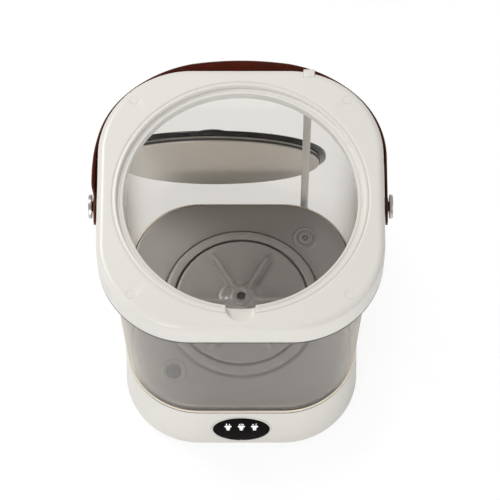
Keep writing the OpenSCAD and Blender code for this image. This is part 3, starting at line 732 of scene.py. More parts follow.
def carve(piece: bpy.types.Object, tool: bpy.types.Object, cut: Cut = Cut.AWAY, crease: float = CREASE) -> None:
    """Cut a tool out of a piece, or join it on, and remove the tool.

    Args:
        piece: the piece that is changed.
        tool: the closed shape that changes it.
        cut: what the tool does.
        crease: the angle in degrees above which an edge stays sharp.
    """
    modifier = piece.modifiers.new("carve", "BOOLEAN")
    modifier.operation, modifier.solver, modifier.object = cut.value, "EXACT", tool
    graph = bpy.context.evaluated_depsgraph_get()
    mesh = bpy.data.meshes.new_from_object(piece.evaluated_get(graph))
    clean(mesh)
    piece.modifiers.clear()
    piece.data = mesh
    mesh.name = piece.name
    bpy.data.objects.remove(tool)
    smooth(piece, crease)


def hole_tool(radius: float, bottom: float, top: float, lip: float = 0.3, floor_round: float = 0.0,
              segments: int = 64, past: float = 6.0) -> Array:
    """Rings of a tool for a round hole whose rim is rounded over and whose floor may be rounded into its wall.

    Args:
        radius: the hole's radius.
        bottom: its floor's height.
        top: the height of the surface that it opens through.
        lip: the radius of its rounded rim.
        floor_round: the radius between its floor and its wall.
        segments: the points round it.
        past: how far it stands out of the surface.

    Returns:
        Rings for skin().
    """
    rim = quarter_round((radius + lip, top - lip), lip, 180, 90)
    low = quarter_round((radius - floor_round, bottom + floor_round), floor_round, -90, 0) if floor_round else (
        np.array([[radius, bottom]]))
    profile = np.concatenate([low, rim, [[radius + lip, top + past]]])
    return spun(profile, segments)


def block(low: Spot, high: Spot) -> bpy.types.Object:
    """Build an upright block for carve() to use up.

    Args:
        low: its lowest corner.
        high: its highest corner.

    Returns:
        The block.
    """
    (x0, y0, z0), (x1, y1, z1) = low, high
    foot = np.array([[x0, y0], [x1, y0], [x1, y1], [x0, y1]])
    return skin("tool", np.array([np.column_stack([foot, np.full(len(foot), z)]) for z in (z0, z1)]))


def moved(rings: Array, matrix: Array, shift: Spot) -> Array:
    """Rings turned by a 3x3 matrix and then shifted."""
    return rings @ np.asarray(matrix, float).T + np.asarray(shift, float)


def tool(rings: Array, matrix: Array = UPRIGHT, shift: Spot = (0, 0, 0)) -> bpy.types.Object:
    """Closed shape through turned and shifted rings, for carve() to use up."""
    return skin("tool", moved(rings, matrix, shift))


def turn_x(degrees: float) -> Array:
    """Matrix of a turn about the X axis."""
    c, s = math.cos(math.radians(degrees)), math.sin(math.radians(degrees))
    return np.array([[1, 0, 0], [0, c, -s], [0, s, c]])


def turn_y(degrees: float) -> Array:
    """Matrix of a turn about the Y axis."""
    c, s = math.cos(math.radians(degrees)), math.sin(math.radians(degrees))
    return np.array([[c, 0, s], [0, 1, 0], [-s, 0, c]])


def smooth_step(value: Array, low: float, high: float) -> Array:
    """Cubic step from 0 at low to 1 at high: t t (3 - 2 t)."""
    t = np.clip((value - low) / (high - low), 0, 1)
    return t * t * (3 - 2 * t)


def dress(piece: bpy.types.Object, finish: Finish, body: str, *stands_for: str) -> None:
    """Give a new piece its finish, its body and the nodes that it stands for.

    Args:
        piece: the piece.
        finish: its finish.
        body: the body that it rides on.
        stands_for: the CAD nodes that it replaces.
    """
    piece.data.materials.clear()
    piece.data.materials.append(PALETTE.material(finish))
    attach(piece, body)
    if stands_for:
        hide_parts(*stands_for)
    LOG.info("%s: %d faces on %s", piece.name, len(piece.data.polygons), body)


def node_box(node: str) -> tuple[Array, Array]:
    """Lowest and highest corner of a CAD node, in millimetres."""
    low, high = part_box(node)
    return np.array(low) / MM, np.array(high) / MM


def node_centre(node: str) -> Array:
    """Middle of a CAD node's box, in millimetres."""
    low, high = node_box(node)
    return (low + high) / 2


# ---------------------------------------------------------------- sub-assemblies


@dataclass
class Base:
    """The white base with its trim ring.

    The stations are the heights of the plain rings up its side.
    """

    half: float = 103.3
    corner: float = 66.0
    draft: float = 1.9
    top: float = 77.2
    bottom: float = 3.5
    wall: float = 2.6
    foot_round: float = 1.5
    rim_round: float = 1.0
    stations: tuple[float, ...] = (10.0, 25.0, 45.0)
    ledge_half: float = 96.0
    ledge_down: float = 5.2
    ledge_under: float = 7.2
    trim_half: float = 103.1
    trim_in: float = 100.35
    trim_top: float = 80.3
    seam: float = 1.7
    jack_r: float = 4.2
    jack_deep: float = 8.0
    outlet_r: float = 4.8

    def half_at(self, z: float) -> float:
        """Half-width of the outer face at height z."""
        return self.half + self.draft * (self.top - z) / (self.top - self.bottom)

    def ring(self, z: float, inset: float) -> Array:
        """Outline of the outer face at height z, moved in by inset."""
        grow = self.half_at(z) - self.half
        return outline(self.half + grow - inset, self.corner + grow - inset, z)

    def shell(self) -> bpy.types.Object:
        """Build the base's shell: up its drafted outside, over the rim, down the inside, round the ledge.

        Returns:
            The piece.
        """
        low = quarter_round((self.foot_round, self.bottom + self.foot_round), self.foot_round, 270, 180)
        high = quarter_round((self.rim_round, self.top - self.rim_round), self.rim_round, 180, 90)
        profile = [*low, *[(0, z) for z in self.stations], (0, self.top - self.rim_round - 0.3), *high]
        rings = [self.ring(z, inset) for inset, z in profile]
        ledge_top, ledge_low = self.top - self.ledge_down, self.top - self.ledge_under
        rings += [self.ring(self.top - 0.3, self.wall), self.ring(ledge_top, self.wall)]
        ledge_corner = self.corner - (self.half - self.ledge_half)
        rings += [outline(self.ledge_half, ledge_corner, z) for z in (ledge_top, ledge_low)]
        rings += [self.ring(ledge_low, self.wall), self.ring(self.bottom, self.wall)]
        return skin("base_body", np.array(rings), hollow=True)

    def trim(self) -> bpy.types.Object:
        """Build the trim ring, a band with rounded edges and an undercut that shades the seam below it.

        Returns:
            The piece.
        """
        inner = self.corner - (self.half - self.trim_in)
        outer = self.corner - (self.half - self.trim_half)
        lip = self.top + self.seam
        rings = [outline(self.trim_half - d, outer - d, z) for d, z in [
            (2.2, self.top), (2.0, self.top + 0.2), (2.0, lip), (0.2, lip), (0.0, lip + 0.2),
            *quarter_round((0.5, self.trim_top - 0.6), 0.5, 180, 90, 5)]]
        rings += [outline(self.trim_in, inner, self.trim_top - 0.1), outline(self.trim_in, inner, self.top)]
        return skin("trim_band", np.array(rings), hollow=True)

    def painted_seam_shade(self) -> bpy.types.Object:
        """Build the dark rubber ring that fills the seam under the trim ring, as painted shade of the seam's shadow
        gap.

        Returns:
            The piece.
        """
        low, high, outer, inner = self.top, self.top + self.seam, 0.25, 1.95
        profile = [(inner, low + 0.05), (outer + 0.3, low + 0.05), (outer, low + 0.35), (outer, high - 0.35),
                   (outer + 0.3, high - 0.05), (inner, high - 0.05)]
        return skin("painted_seam_shade_band", np.array([self.ring(z, d) for d, z in profile]), hollow=True)

    def build(self, panel: "Panel", drain: "Drain") -> None:
        """Build and dress the base.

        Args:
            panel: the panel set into its front.
            drain: the drain that leaves its back.
        """
        shell = self.shell()
        turn, spot = panel.frame_of(self)
        carve(shell, tool(panel.recess(), turn, spot))
        carve(shell, tool(panel.window(), turn, spot))
        back = turn_x(-90)
        jack = node_centre("dc_jack")
        face = self.half_at(jack[2])
        carve(shell, tool(hole_tool(self.jack_r, -self.jack_deep, 0, 0.5), back, (jack[0], face, jack[2])))
        carve(shell, tool(hole_tool(self.outlet_r, -20, 8), back, (drain.x, self.half, drain.outlet_z)))
        dress(shell, Finish.WHITE_SHELL, "root", "base_shell")
        dress(self.trim(), Finish.CREAM_TRIM, "root", "trim_ring")
        # painted shade: a dark ring in the seam stands for its shadow gap
        dress(self.painted_seam_shade(), Finish.RUBBER, "root")


@dataclass
class Tub:
    """The clear tub and its smoke-grey floor."""

    half: float = 102.3
    corner: float = 65.0
    lean: float = 6.0
    foot_z: float = 80.6
    foot_low: float = 75.2
    floor_z: float = 80.6
    flange_low: float = 72.0
    flare_z: float = 245.5
    collar_z: float = 270.5
    rim_z: float = 286.0
    rim_half: float = 116.0
    rim_corner: float = 74.5
    wall: float = 3.0
    foot_half: float = 100.0
    foot_wall: float = 2.0
    lap: float = 3.0
    edge: float = 0.5
    floor_half: float = 97.8
    floor_corner: float = 60.5
    floor_edge: float = 1.6
    floor_t: float = 3.0
    flange_t: float = 2.0
    bore_low: float = 66.0
    ring_out: float = 69.0
    ring_in: float = 61.0
    ring_rise: float = 4.0
    groove_deep: float = 1.2
    bore: float = 11.0

    def half_at(self, z: float) -> float:
        """Find the half-width: a straight lean, then a flare that grows with the square of the height.

        Args:
            z: the height.

        Returns:
            The half-width.
        """
        if z < self.flare_z:
            return self.half + self.lean * (z - self.foot_z) / (self.flare_z - self.foot_z)
        rise = min((z - self.flare_z) / (self.collar_z - self.flare_z), 1.0)
        return self.half + self.lean + (self.rim_half - self.half - self.lean) * rise**2

    def ring(self, z: float, inset: float) -> Array:
        """Find the outline of the outer face, whose corner radius grows in step with its half-width.

        Args:
            z: the height.
            inset: how far the outline is moved in.

        Returns:
            Points as an array of (points, 3).
        """
        half = self.half_at(z)
        share = (half - self.half) / (self.rim_half - self.half)
        corner = self.corner + (self.rim_corner - self.corner) * share
        return outline(half - inset, corner - inset, z)

    def clear_wall(self) -> bpy.types.Object:
        """Build the clear wall: up the outside, over the rim, down the inside and round the foot.

        Returns:
            The piece.
        """
        e, top = self.edge, self.rim_z
        up = np.concatenate([
            [self.foot_z + e, self.foot_z + 2], np.linspace(100, self.flare_z - 8, 6),
            np.linspace(self.flare_z - 3, self.collar_z + 1, 14), [top - e]])
        rings = [self.ring(self.foot_z, e), *[self.ring(z, 0) for z in up], self.ring(top, e)]
        rings += [self.ring(top, self.wall - e), *[self.ring(z, self.wall) for z in up[:1:-1]]]
        foot_corner = self.corner - (self.half - self.foot_half)
        lap_z, thin = self.foot_z + self.lap, self.foot_wall
        rings += [self.ring(lap_z + 1.2, self.wall)]
        rings += [outline(self.foot_half - thin, foot_corner - thin, z) for z in (lap_z, self.foot_low)]
        rings += [outline(self.foot_half, foot_corner, z) for z in (self.foot_low, self.foot_z)]
        return skin("clear_tub_wall", np.array(rings), hollow=True)

    def floor(self, fittings: Iterable[tuple[float, float]]) -> bpy.types.Object:
        """Build the floor: outside upwards, in across its top, over the raised ring, down its bore, back underneath.

        Args:
            fittings: the X and Y of the round fittings that are let into it.

        Returns:
            The piece.
        """
        z, e, low, lip = self.floor_z, self.floor_edge, self.flange_low, self.flange_low + self.flange_t
        like = rounded_square(self.floor_half, self.floor_corner)
        under = z - self.floor_t
        flange_corner = self.floor_corner + self.foot_half - self.floor_half
        rings = [outline(self.foot_half, flange_corner, h) for h in (low, lip)]
        rings += [outline(self.floor_half, self.floor_corner, h) for h in (lip, z - e)]
        rings += [outline(self.floor_half - d, self.floor_corner - d, h) for d, h in
                  quarter_round((e, z - e), e, 180, 90)[1:]]
        rings += [outline(self.floor_half - 2.4, self.floor_corner - 2.4, z)]
        rise, f, g = z + self.ring_rise, 1.2, self.groove_deep
        over = [(self.ring_out + 5, z), (self.ring_out + 2.6, z), (self.ring_out + 2.2, z - 0.3),
                (self.ring_out + 2, z - g), (self.ring_out, z - g), (self.ring_out, z),
                *quarter_round((self.ring_out - f, rise - f), f, 0, 90),
                *quarter_round((self.ring_in + f, rise - f), f, 90, 180),
                *quarter_round((self.ring_in - f, z + f), f, 0, -90), (self.ring_in - 4, z), (30, z),
                (self.bore + 0.4, z), (self.bore, z - 0.4), (self.bore, self.bore_low),
                (self.bore + 3.5, self.bore_low),
                (self.bore + 3.5, under), (60, under)]
        rings += [round_outline(r, h, like) for r, h in over]
        rings += [outline(self.floor_half - 2, self.floor_corner - 2, h) for h in (under, low)]
        piece = skin("tub_floor_plate", np.array(rings), hollow=True)
        for x, y in fittings:
            bead = [(4, z - 2), (11.6, z - 2), (11.6, z), (11.0, z + 0.7), (10.2, z + 1.0), (9.4, z + 0.9),
                    (8.4, z + 0.2), (4, z + 0.1)]
            carve(piece, tool(spun(bead, 64), shift=(x, y, 0)), Cut.JOIN)
            seat = [(6.6, z - 1.5), (6.6, z - 0.1), (7.2, z + 0.4), (7.2, z + 5)]
            carve(piece, tool(spun(seat, 64), shift=(x, y, 0)))
        return piece

    def build(self) -> None:
        """Build and dress the tub."""
        dress(self.clear_wall(), Finish.CLEAR_TUB, "root", "tub_wall")
        spots = [node_centre(node)[:2] for node in ("drain_strainer", "level_sensor")]
        dress(self.floor(spots), Finish.SMOKE, "root", "tub_floor")


@dataclass
class Collar:
    """The white collar with its lid seat, finger notch and screw holes, and the seat ring in its opening."""

    half: float = 120.0
    corner: float = 78.5
    bottom: float = 270.5
    top: float = 301.0
    fillet: float = 6.0
    skirt: float = 3.5
    plate: float = 3.5
    rib: float = 3.5
    rib_tall: float = 10.0
    opening: float = 98.1
    neck: float = 100.8
    neck_tall: float = 9.0
    seat: float = 104.0
    seat_z: float = 297.0
    groove: float = 107.1
    groove_deep: float = 0.75
    notch_r: float = 12.8
    notch_y: float = -100.2
    notch_z: float = 290.0
    screw_at: float = 90.0
    cap_r: float = 3.8
    pivot_z: float = 280.3
    cap_deep: float = 3.2
    post_r: float = 4.3
    pocket_x: float = 58.0
    pocket_half: float = 4.95
    pocket_y: float = 111.85
    pocket_z: float = 294.65

    def ring(self, inset: float, z: float) -> Array:
        """Outline of the outer face moved in by inset, at height z."""
        return outline(self.half - inset, self.corner - inset, z)

    def shell(self) -> bpy.types.Object:
        """Build the collar: up the skirt, over the fillet, in across the top, down the seat, back underneath.

        Returns:
            The piece.
        """
        f, t, like = self.fillet, self.top, rounded_square(self.half, self.corner)
        low = quarter_round((0.9, self.bottom + 0.9), 0.9, 270, 180, 5)
        high = quarter_round((f, t - f), f, 180, 90, 13)
        outside = [*low, (0, self.bottom + 1.6), (0, t - f - 0.5), *high, (f + 0.5, t)]
        rings = [self.ring(d, z) for d, z in outside]
        g, deep, s, w = self.groove, self.groove_deep, self.seat, self.seat_z
        neck_z = w - self.neck_tall
        across = [(g + 2.2, t), (g + 0.95, t), (g + 0.7, t - 0.1), (g + 0.2, t - deep), (g - 0.2, t - deep),
                  (g - 0.7, t - 0.1), (g - 0.95, t), (s + 0.9, t),
                  *quarter_round((s + 0.6, t - 0.6), 0.6, 90, 180, 5),
                  *quarter_round((s - 0.4, w + 0.4), 0.4, 0, -90, 4), (self.neck + 0.5, w),
                  *quarter_round((self.neck + 0.35, w - 0.35), 0.35, 90, 180, 3), (self.neck, neck_z),
                  (self.neck + 2.6, neck_z), (self.neck + 2.6, w - 3), (s + 3, w - 3), (s + 3, t - self.plate)]
        rings += [round_outline(r, z, like) for r, z in across]
        rib = self.skirt + self.rib
        plate_z, rib_z = t - self.plate, t - self.plate - self.rib_tall
        rings += [self.ring(rib, plate_z), self.ring(rib, rib_z), self.ring(self.skirt, rib_z)]
        rings += [self.ring(self.skirt, self.bottom + 0.3), self.ring(self.skirt - 0.3, self.bottom)]
        return skin("collar_body", np.array(rings), hollow=True)

    def lip(self) -> bpy.types.Object:
        """Build the dark rubber lip that closes the gap between the collar's skirt and the tub, as painted shade of
        that gap's shadow.

        Returns:
            The piece.
        """
        low, high, d, side = self.bottom - 1.9, self.bottom + 1.0, self.skirt + 0.05, 0.1
        profile = [(side, self.bottom - 0.1), (side, low + 0.3), (side + 0.3, low), (d, low), (d + 0.4, low + 0.3),
                   (d + 0.4, high), (d, high), (d, self.bottom - 0.1)]
        return skin("collar_gap_shade", np.array([self.ring(d, z) for d, z in profile[::-1]])[::-1], hollow=True)

    def notch_tool(self) -> bpy.types.Object:
        """Tool for the finger notch, a round scoop with its floor rounded up into its wall."""
        rings = hole_tool(self.notch_r, self.notch_z, self.top, 1.1, 3.4, 96)
        return tool(rings, shift=(0, self.notch_y, 0))

    def notch_boss(self) -> bpy.types.Object:
        """Build the solid floor under the notch, cut off at the neck.

        Returns:
            The tool that joins it on.
        """
        low, high, r = self.notch_z - 2.4, self.top - 2.5, self.notch_r + 2.6
        boss = skin("boss", moved(spun([(r, low), (r, high)], 64), UPRIGHT, (0, self.notch_y, 0)))
        carve(boss, skin("tool", spun([(self.neck, low - 5), (self.neck, high + 5)], 192)))
        return boss

    def seat_ring(self) -> bpy.types.Object:
        """Build the ring in the opening, with a rounded inner lip, cut away at the notch.

        Returns:
            The piece.
        """
        r_in, r_out, low, high = self.opening, self.neck - 0.05, self.seat_z - self.neck_tall, self.seat_z
        profile = [(r_out - 0.2, low), (r_out, low + 0.2), (r_out, high - 0.3), (r_out - 0.3, high),
                   *quarter_round((r_in + 1.0, high - 1.0), 1.0, 90, 180, 6), (r_in, low + 0.6), (r_in + 0.6, low)]
        ring = skin("opening_ring", spun(profile, 192), hollow=True)
        carve(ring, self.notch_tool())
        return ring

    def build(self) -> None:
        """Build and dress the collar."""
        shell = self.shell()
        carve(shell, self.notch_boss(), Cut.JOIN)
        carve(shell, self.notch_tool())
        x, half_w, y, z = self.pocket_x, self.pocket_half, self.pocket_y, self.pocket_z
        carve(shell, block((x - 8, y - 4, z - 4), (x + 8, y + 3, self.top - 2.5)), Cut.JOIN)
        carve(shell, block((x - half_w, y, z), (x + half_w, y + 20, self.top + 20)))
        d = self.screw_at
        for sx, sy in ((-d, -d), (d, -d), (-d, d), (d, d)):
            rings = hole_tool(self.cap_r, self.top - self.cap_deep, self.top, segments=48)
            carve(shell, tool(rings, shift=(sx, sy, 0)))
        for side in (-90, 90):
            rings = hole_tool(self.post_r, -8, 0, 0.4, segments=48)
            face = (math.copysign(self.half, side), 0, self.pivot_z)
            carve(shell, tool(rings, turn_y(side), face))
        dress(shell, Finish.WHITE_SHELL, "root", "collar_shell")
        # painted shade: a dark lip under the collar stands for the shadow gap above the tub
        dress(self.lip(), Finish.RUBBER, "root")
        dress(self.seat_ring(), Finish.NYLON, "root", "lid_seat_ring")


@dataclass
class Handle:
    """The leather strap and the heads of the two studs that it swings on.

    The bow is how far a curve stands out in its middle, and the lean how far a leg's top stands out past its foot.
    The two powers square off the strap's oval section, and the slack rises and falls between these Y places.
    """

    collar_half: float = 120.0
    collar_corner: float = 78.5
    pivot_z: float = 280.3
    gap: float = 2.2
    back_y: float = 132.4
    back_bow: float = 3.3
    loose_from: float = 45.0
    left_bow: float = 0.7
    left_lean: float = 3.4
    slack_rise: tuple[float, float] = (4.0, 16.0)
    slack_fall: tuple[float, float] = (24.0, 62.0)
    tail: float = 16.0
    width: float = 22.5
    thick: float = 1.8
    around: int = 40
    face_power: float = 0.5
    edge_power: float = 0.22
    crease: float = 50.0
    hole_r: float = 5.75
    stud_x: float = 124.5
    stud_r: float = 10.2
    stud_t: float = 3.2

    def middle(self) -> Array:
        """Mid-line of the strap in plan, from its right end to its left end.

        The legs are straight, the bends turn about the collar's corner centres with a gap that widens with the
        square of the angle past loose_from, and the back is a parabola. The left leg, worn soft, bows outwards with
        its slack.

        Returns:
            Points as an array of (points, 2).
        """
        side = self.collar_half - self.collar_corner
        end_r = self.width / 2
        x = self.collar_half + self.gap
        tip = end_r - self.tail - end_r * np.cos(np.linspace(0.03, np.pi / 2, 12))
        leg = np.concatenate([tip, np.linspace(tip[-1], side, 14)[1:-1]])
        angle = np.linspace(0, 90, 41)
        back_gap = self.back_y - self.back_bow - self.collar_half
        loose = np.maximum((angle - self.loose_from) / (90 - self.loose_from), 0)
        gap = self.gap + (back_gap - self.gap) * loose**2
        r = self.collar_corner + gap
        bend = np.stack([np.cos(np.radians(angle)), np.sin(np.radians(angle))], 1) * r[:, None] + side
        over = np.linspace(side, 0, 13)[1:]
        back = np.stack([over, self.back_y - self.back_bow * (over / side) ** 2], 1)
        right = np.concatenate([np.stack([np.full(len(leg), x), leg], 1), bend, back])
        left = right[-2::-1] * [-1, 1]
        left[:, 0] -= self.left_bow * self.slack(left)
        return np.concatenate([right, left])

    def slack(self, points: Array) -> Array:
        """Slack of the worn left leg at points in plan: a smooth rise past the stud and a fall before the bend."""
        rise = smooth_step(points[:, 1], *self.slack_rise) * (1 - smooth_step(points[:, 1], *self.slack_fall))
        return np.where(points[:, 0] < 0, rise, 0)

    def half_width(self, points: Array) -> Array:
        """Find half of the strap's width: the full width, closing in a half circle at the tips of its legs.

        Args:
            points: places in plan, whose first two columns are X and Y.

        Returns:
            The half-width at each point.
        """
        end_r = self.width / 2
        leg_y = np.where(np.abs(points[:, 0]) > self.collar_half, points[:, 1], np.inf)
        past = np.clip(end_r - self.tail - leg_y, 0, end_r)
        return np.sqrt(np.maximum(end_r**2 - past**2, 0.01))

    def strap(self) -> bpy.types.Object:
        """Build the strap: a flat section with rounded edges carried along the mid-line, its slack leg leaning out.

        Returns:
            The piece, with its UV map and its "outside" attribute.
        """
        line = self.middle()
        run = np.gradient(line, axis=0)
        run /= np.linalg.norm(run, axis=1)[:, None]
        out = np.stack([run[:, 1], -run[:, 0]], 1)
        c, s = circle(self.around)
        flat = np.sign(c) * np.abs(c) ** self.face_power * self.thick / 2
        wide = np.sign(s) * np.abs(s) ** self.edge_power
        half = self.half_width(line)
        pinch = np.minimum(half / 2, 1.0)
        lean = self.left_lean * self.slack(line)[:, None] * wide[None] / 2
        plan = line[:, None] + out[:, None] * (flat[None] * pinch[:, None] + lean)[..., None]
        height = self.pivot_z + half[:, None] * wide[None]
        rings = np.concatenate([plan, height[..., None]], 2)
        piece = skin("leather_strap", rings, crease=self.crease)
        for side in (-90, 90):
            hole = spun([(self.hole_r, -8), (self.hole_r, 8)], 44)
            spot = (math.copysign(self.collar_half + self.gap, side), 0, self.pivot_z)
            carve(piece, tool(hole, turn_y(side), spot), crease=self.crease)
        self.chart(piece, line, out)
        return piece

    def chart(self, piece: bpy.types.Object, line: Array, out: Array) -> None:
        """Write the strap's UV map and "outside" attribute from the nearest point of its mid-line.

        Args:
            piece: the strap.
            line: its mid-line in plan.
            out: the outward direction at each of the mid-line's points.
        """
        mesh = piece.data
        points = np.empty(len(mesh.vertices) * 3)
        mesh.vertices.foreach_get("co", points)
        points = points.reshape(-1, 3) / MM
        offset = points[:, None, :2] - line[None]
        near = np.argmin((offset**2).sum(2), 1)
        rows = np.arange(len(points))
        length = np.concatenate([[0], np.cumsum(np.linalg.norm(np.diff(line, axis=0), axis=1))])
        half = self.half_width(points)
        across = 0.5 + 0.5 * np.clip((points[:, 2] - self.pivot_z) / np.maximum(half, 0.5), -1, 1)
        outward = (offset[rows, near] * out[near]).sum(1) - self.left_lean * self.slack(line)[near] * (across - 0.5)
        attribute = mesh.attributes.new("outside", "FLOAT", "POINT")
        attribute.data.foreach_set("value", smooth_step(outward, -0.3, 0.3).astype(np.float32))
        corner = np.empty(len(mesh.loops), np.int32)
        mesh.loops.foreach_get("vertex_index", corner)
        uv = np.stack([length[near] * MM, across], 1)[corner]
        mesh.uv_layers.new(name="UVMap").data.foreach_set("uv", uv.astype(np.float32).ravel())

    def stud(self, name: str, side: float) -> bpy.types.Object:
        """Build a stud's head: a disc with a rounded rim and a faintly domed face.

        Args:
            name: the piece's name.
            side: 90 for the right-hand stud, -90 for the left-hand one.

        Returns:
            The piece.
        """
        r, t = self.stud_r, self.stud_t
        profile = [(r * 0.1, 0), (r - 0.4, 0), (r, 0.4), *quarter_round((r - 1.0, t - 1.2), 1.0, 0, 80, 6)]
        profile += [(k * r, t - 0.2 * k**2) for k in (0.85, 0.7, 0.5, 0.3, 0.1)]
        spot = (math.copysign(self.stud_x, side), 0, self.pivot_z)
        return skin(name, moved(spun(profile, 72), turn_y(side), spot))

    def build(self) -> None:
        """Build and dress the handle."""
        dress(self.strap(), Finish.LEATHER, "handle", "handle_strap")
        dress(self.stud("stud_head_right", 90), Finish.STEEL, "root", "stud_heads")
        dress(self.stud("stud_head_left", -90), Finish.STEEL, "root", "stud_heads")


@dataclass
class Pulsator:
    """The ribbed disc that turns in the tub, with its hub's cap.

    The crowding is the power that draws the disc's spokes of points together at each vane.
    """

    radius: float = 59.0
    low: float = 82.4
    top: float = 85.2
    vanes: int = 6
    vane_rise: float = 5.0
    vane_half: float = 2.2
    vane_end: tuple[float, float] = (44.0, 54.5)
    cone_out: float = 13.0
    cone_power: float = 1.35
    dip: float = 0.8
    dip_from: float = 20.0
    dip_wide: float = 36.0
    hub_r: float = 8.5
    cone_top: float = 95.1
    cap_top: float = 97.1
    bore: float = 4.0
    edge: float = 1.2
    per_vane: int = 64
    crowding: float = 1.9
    crease: float = 40.0

    def height(self, r: Array, angle: Array) -> Array:
        """Height of the top face.

        A smooth cone falls from the hub, and each vane is a flat-topped ridge on a spoke: its sides and both its ends
        are smooth steps. The disc dips a little between the vanes.

        Args:
            r: distances from the axis.
            angle: angles in radians.

        Returns:
            The heights, shaped as r and angle are together.
        """
        step = 2 * np.pi / self.vanes
        from_spoke = (angle + step / 2) % step - step / 2
        aside = np.abs(r * np.sin(from_spoke))
        fall = smooth_step(r, self.hub_r - 0.5, self.hub_r + self.cone_out)
        cone = (self.cone_top - self.top) * (1 - fall) ** self.cone_power
        ridge = 1 - smooth_step(aside, self.vane_half - 0.9, self.vane_half + 1.1)
        ends = smooth_step(r, self.hub_r + 0.5, self.hub_r + 7) * (1 - smooth_step(r, *self.vane_end))
        dish = -self.dip * np.sin(np.clip((r - self.dip_from) / self.dip_wide, 0, 1) * np.pi) * (1 - ridge)
        return self.top + np.maximum(cone, 0) + self.vane_rise * ridge * ends * (1 - cone / 12) + dish

    def disc(self) -> bpy.types.Object:
        """Build the disc: out along its underside, round its edge, in over its ribbed top, down its bore.

        Returns:
            The piece.
        """
        share = np.linspace(-1, 1, self.per_vane, endpoint=False)
        sector = np.sign(share) * np.abs(share) ** self.crowding * np.pi / self.vanes
        angle = (sector[None] + np.arange(self.vanes)[:, None] * 2 * np.pi / self.vanes).ravel()
        e = self.edge
        edge = quarter_round((self.radius - e, self.low + e), e, -90, 0, 4)
        rim = quarter_round((self.radius - e, self.top - e), e, 0, 90, 5)
        r_top = np.concatenate([np.linspace(self.radius - 2, 20, 48), np.linspace(19.2, self.hub_r + 0.15, 18)])
        radii = np.concatenate([[self.bore, 30], edge[:, 0], rim[:, 0], r_top, [self.hub_r - 0.3, self.bore]])
        z = np.concatenate([[self.low, self.low], edge[:, 1], rim[:, 1]])
        z = np.broadcast_to(z[:, None], (len(z), len(angle)))
        top = self.height(r_top[:, None], angle[None])
        lid = np.full((2, len(angle)), self.cone_top)
        heights = np.concatenate([z, top, lid])
        ring = np.stack([np.cos(angle), np.sin(angle)], 1)
        rings = np.concatenate([radii[:, None, None] * ring[None], heights[..., None]], 2)
        return skin("pulsator_plate", rings, hollow=True, crease=self.crease)

    def cap(self) -> bpy.types.Object:
        """Build the hub's cap, a ring with rounded edges and a stepped hole.

        Returns:
            The piece.
        """
        r, low, top, b = self.hub_r, self.cone_top, self.cap_top, self.bore
        profile = [(b, low), (r, low), *quarter_round((r - 0.7, top - 0.7), 0.7, 0, 90, 5),
                   (b + 1.6, top), (b + 1.3, top - 0.35),
                   *quarter_round((b + 0.4, top - 0.75), 0.4, 90, 180, 4)]
        return skin("pulsator_hub_cap", spun(profile, 72), hollow=True)

    def build(self) -> None:
        """Build and dress the pulsator."""
        dress(self.disc(), Finish.SMOKE, "pulsator", "pulsator_disc")
        dress(self.cap(), Finish.SMOKE, "pulsator", "hub_cap")


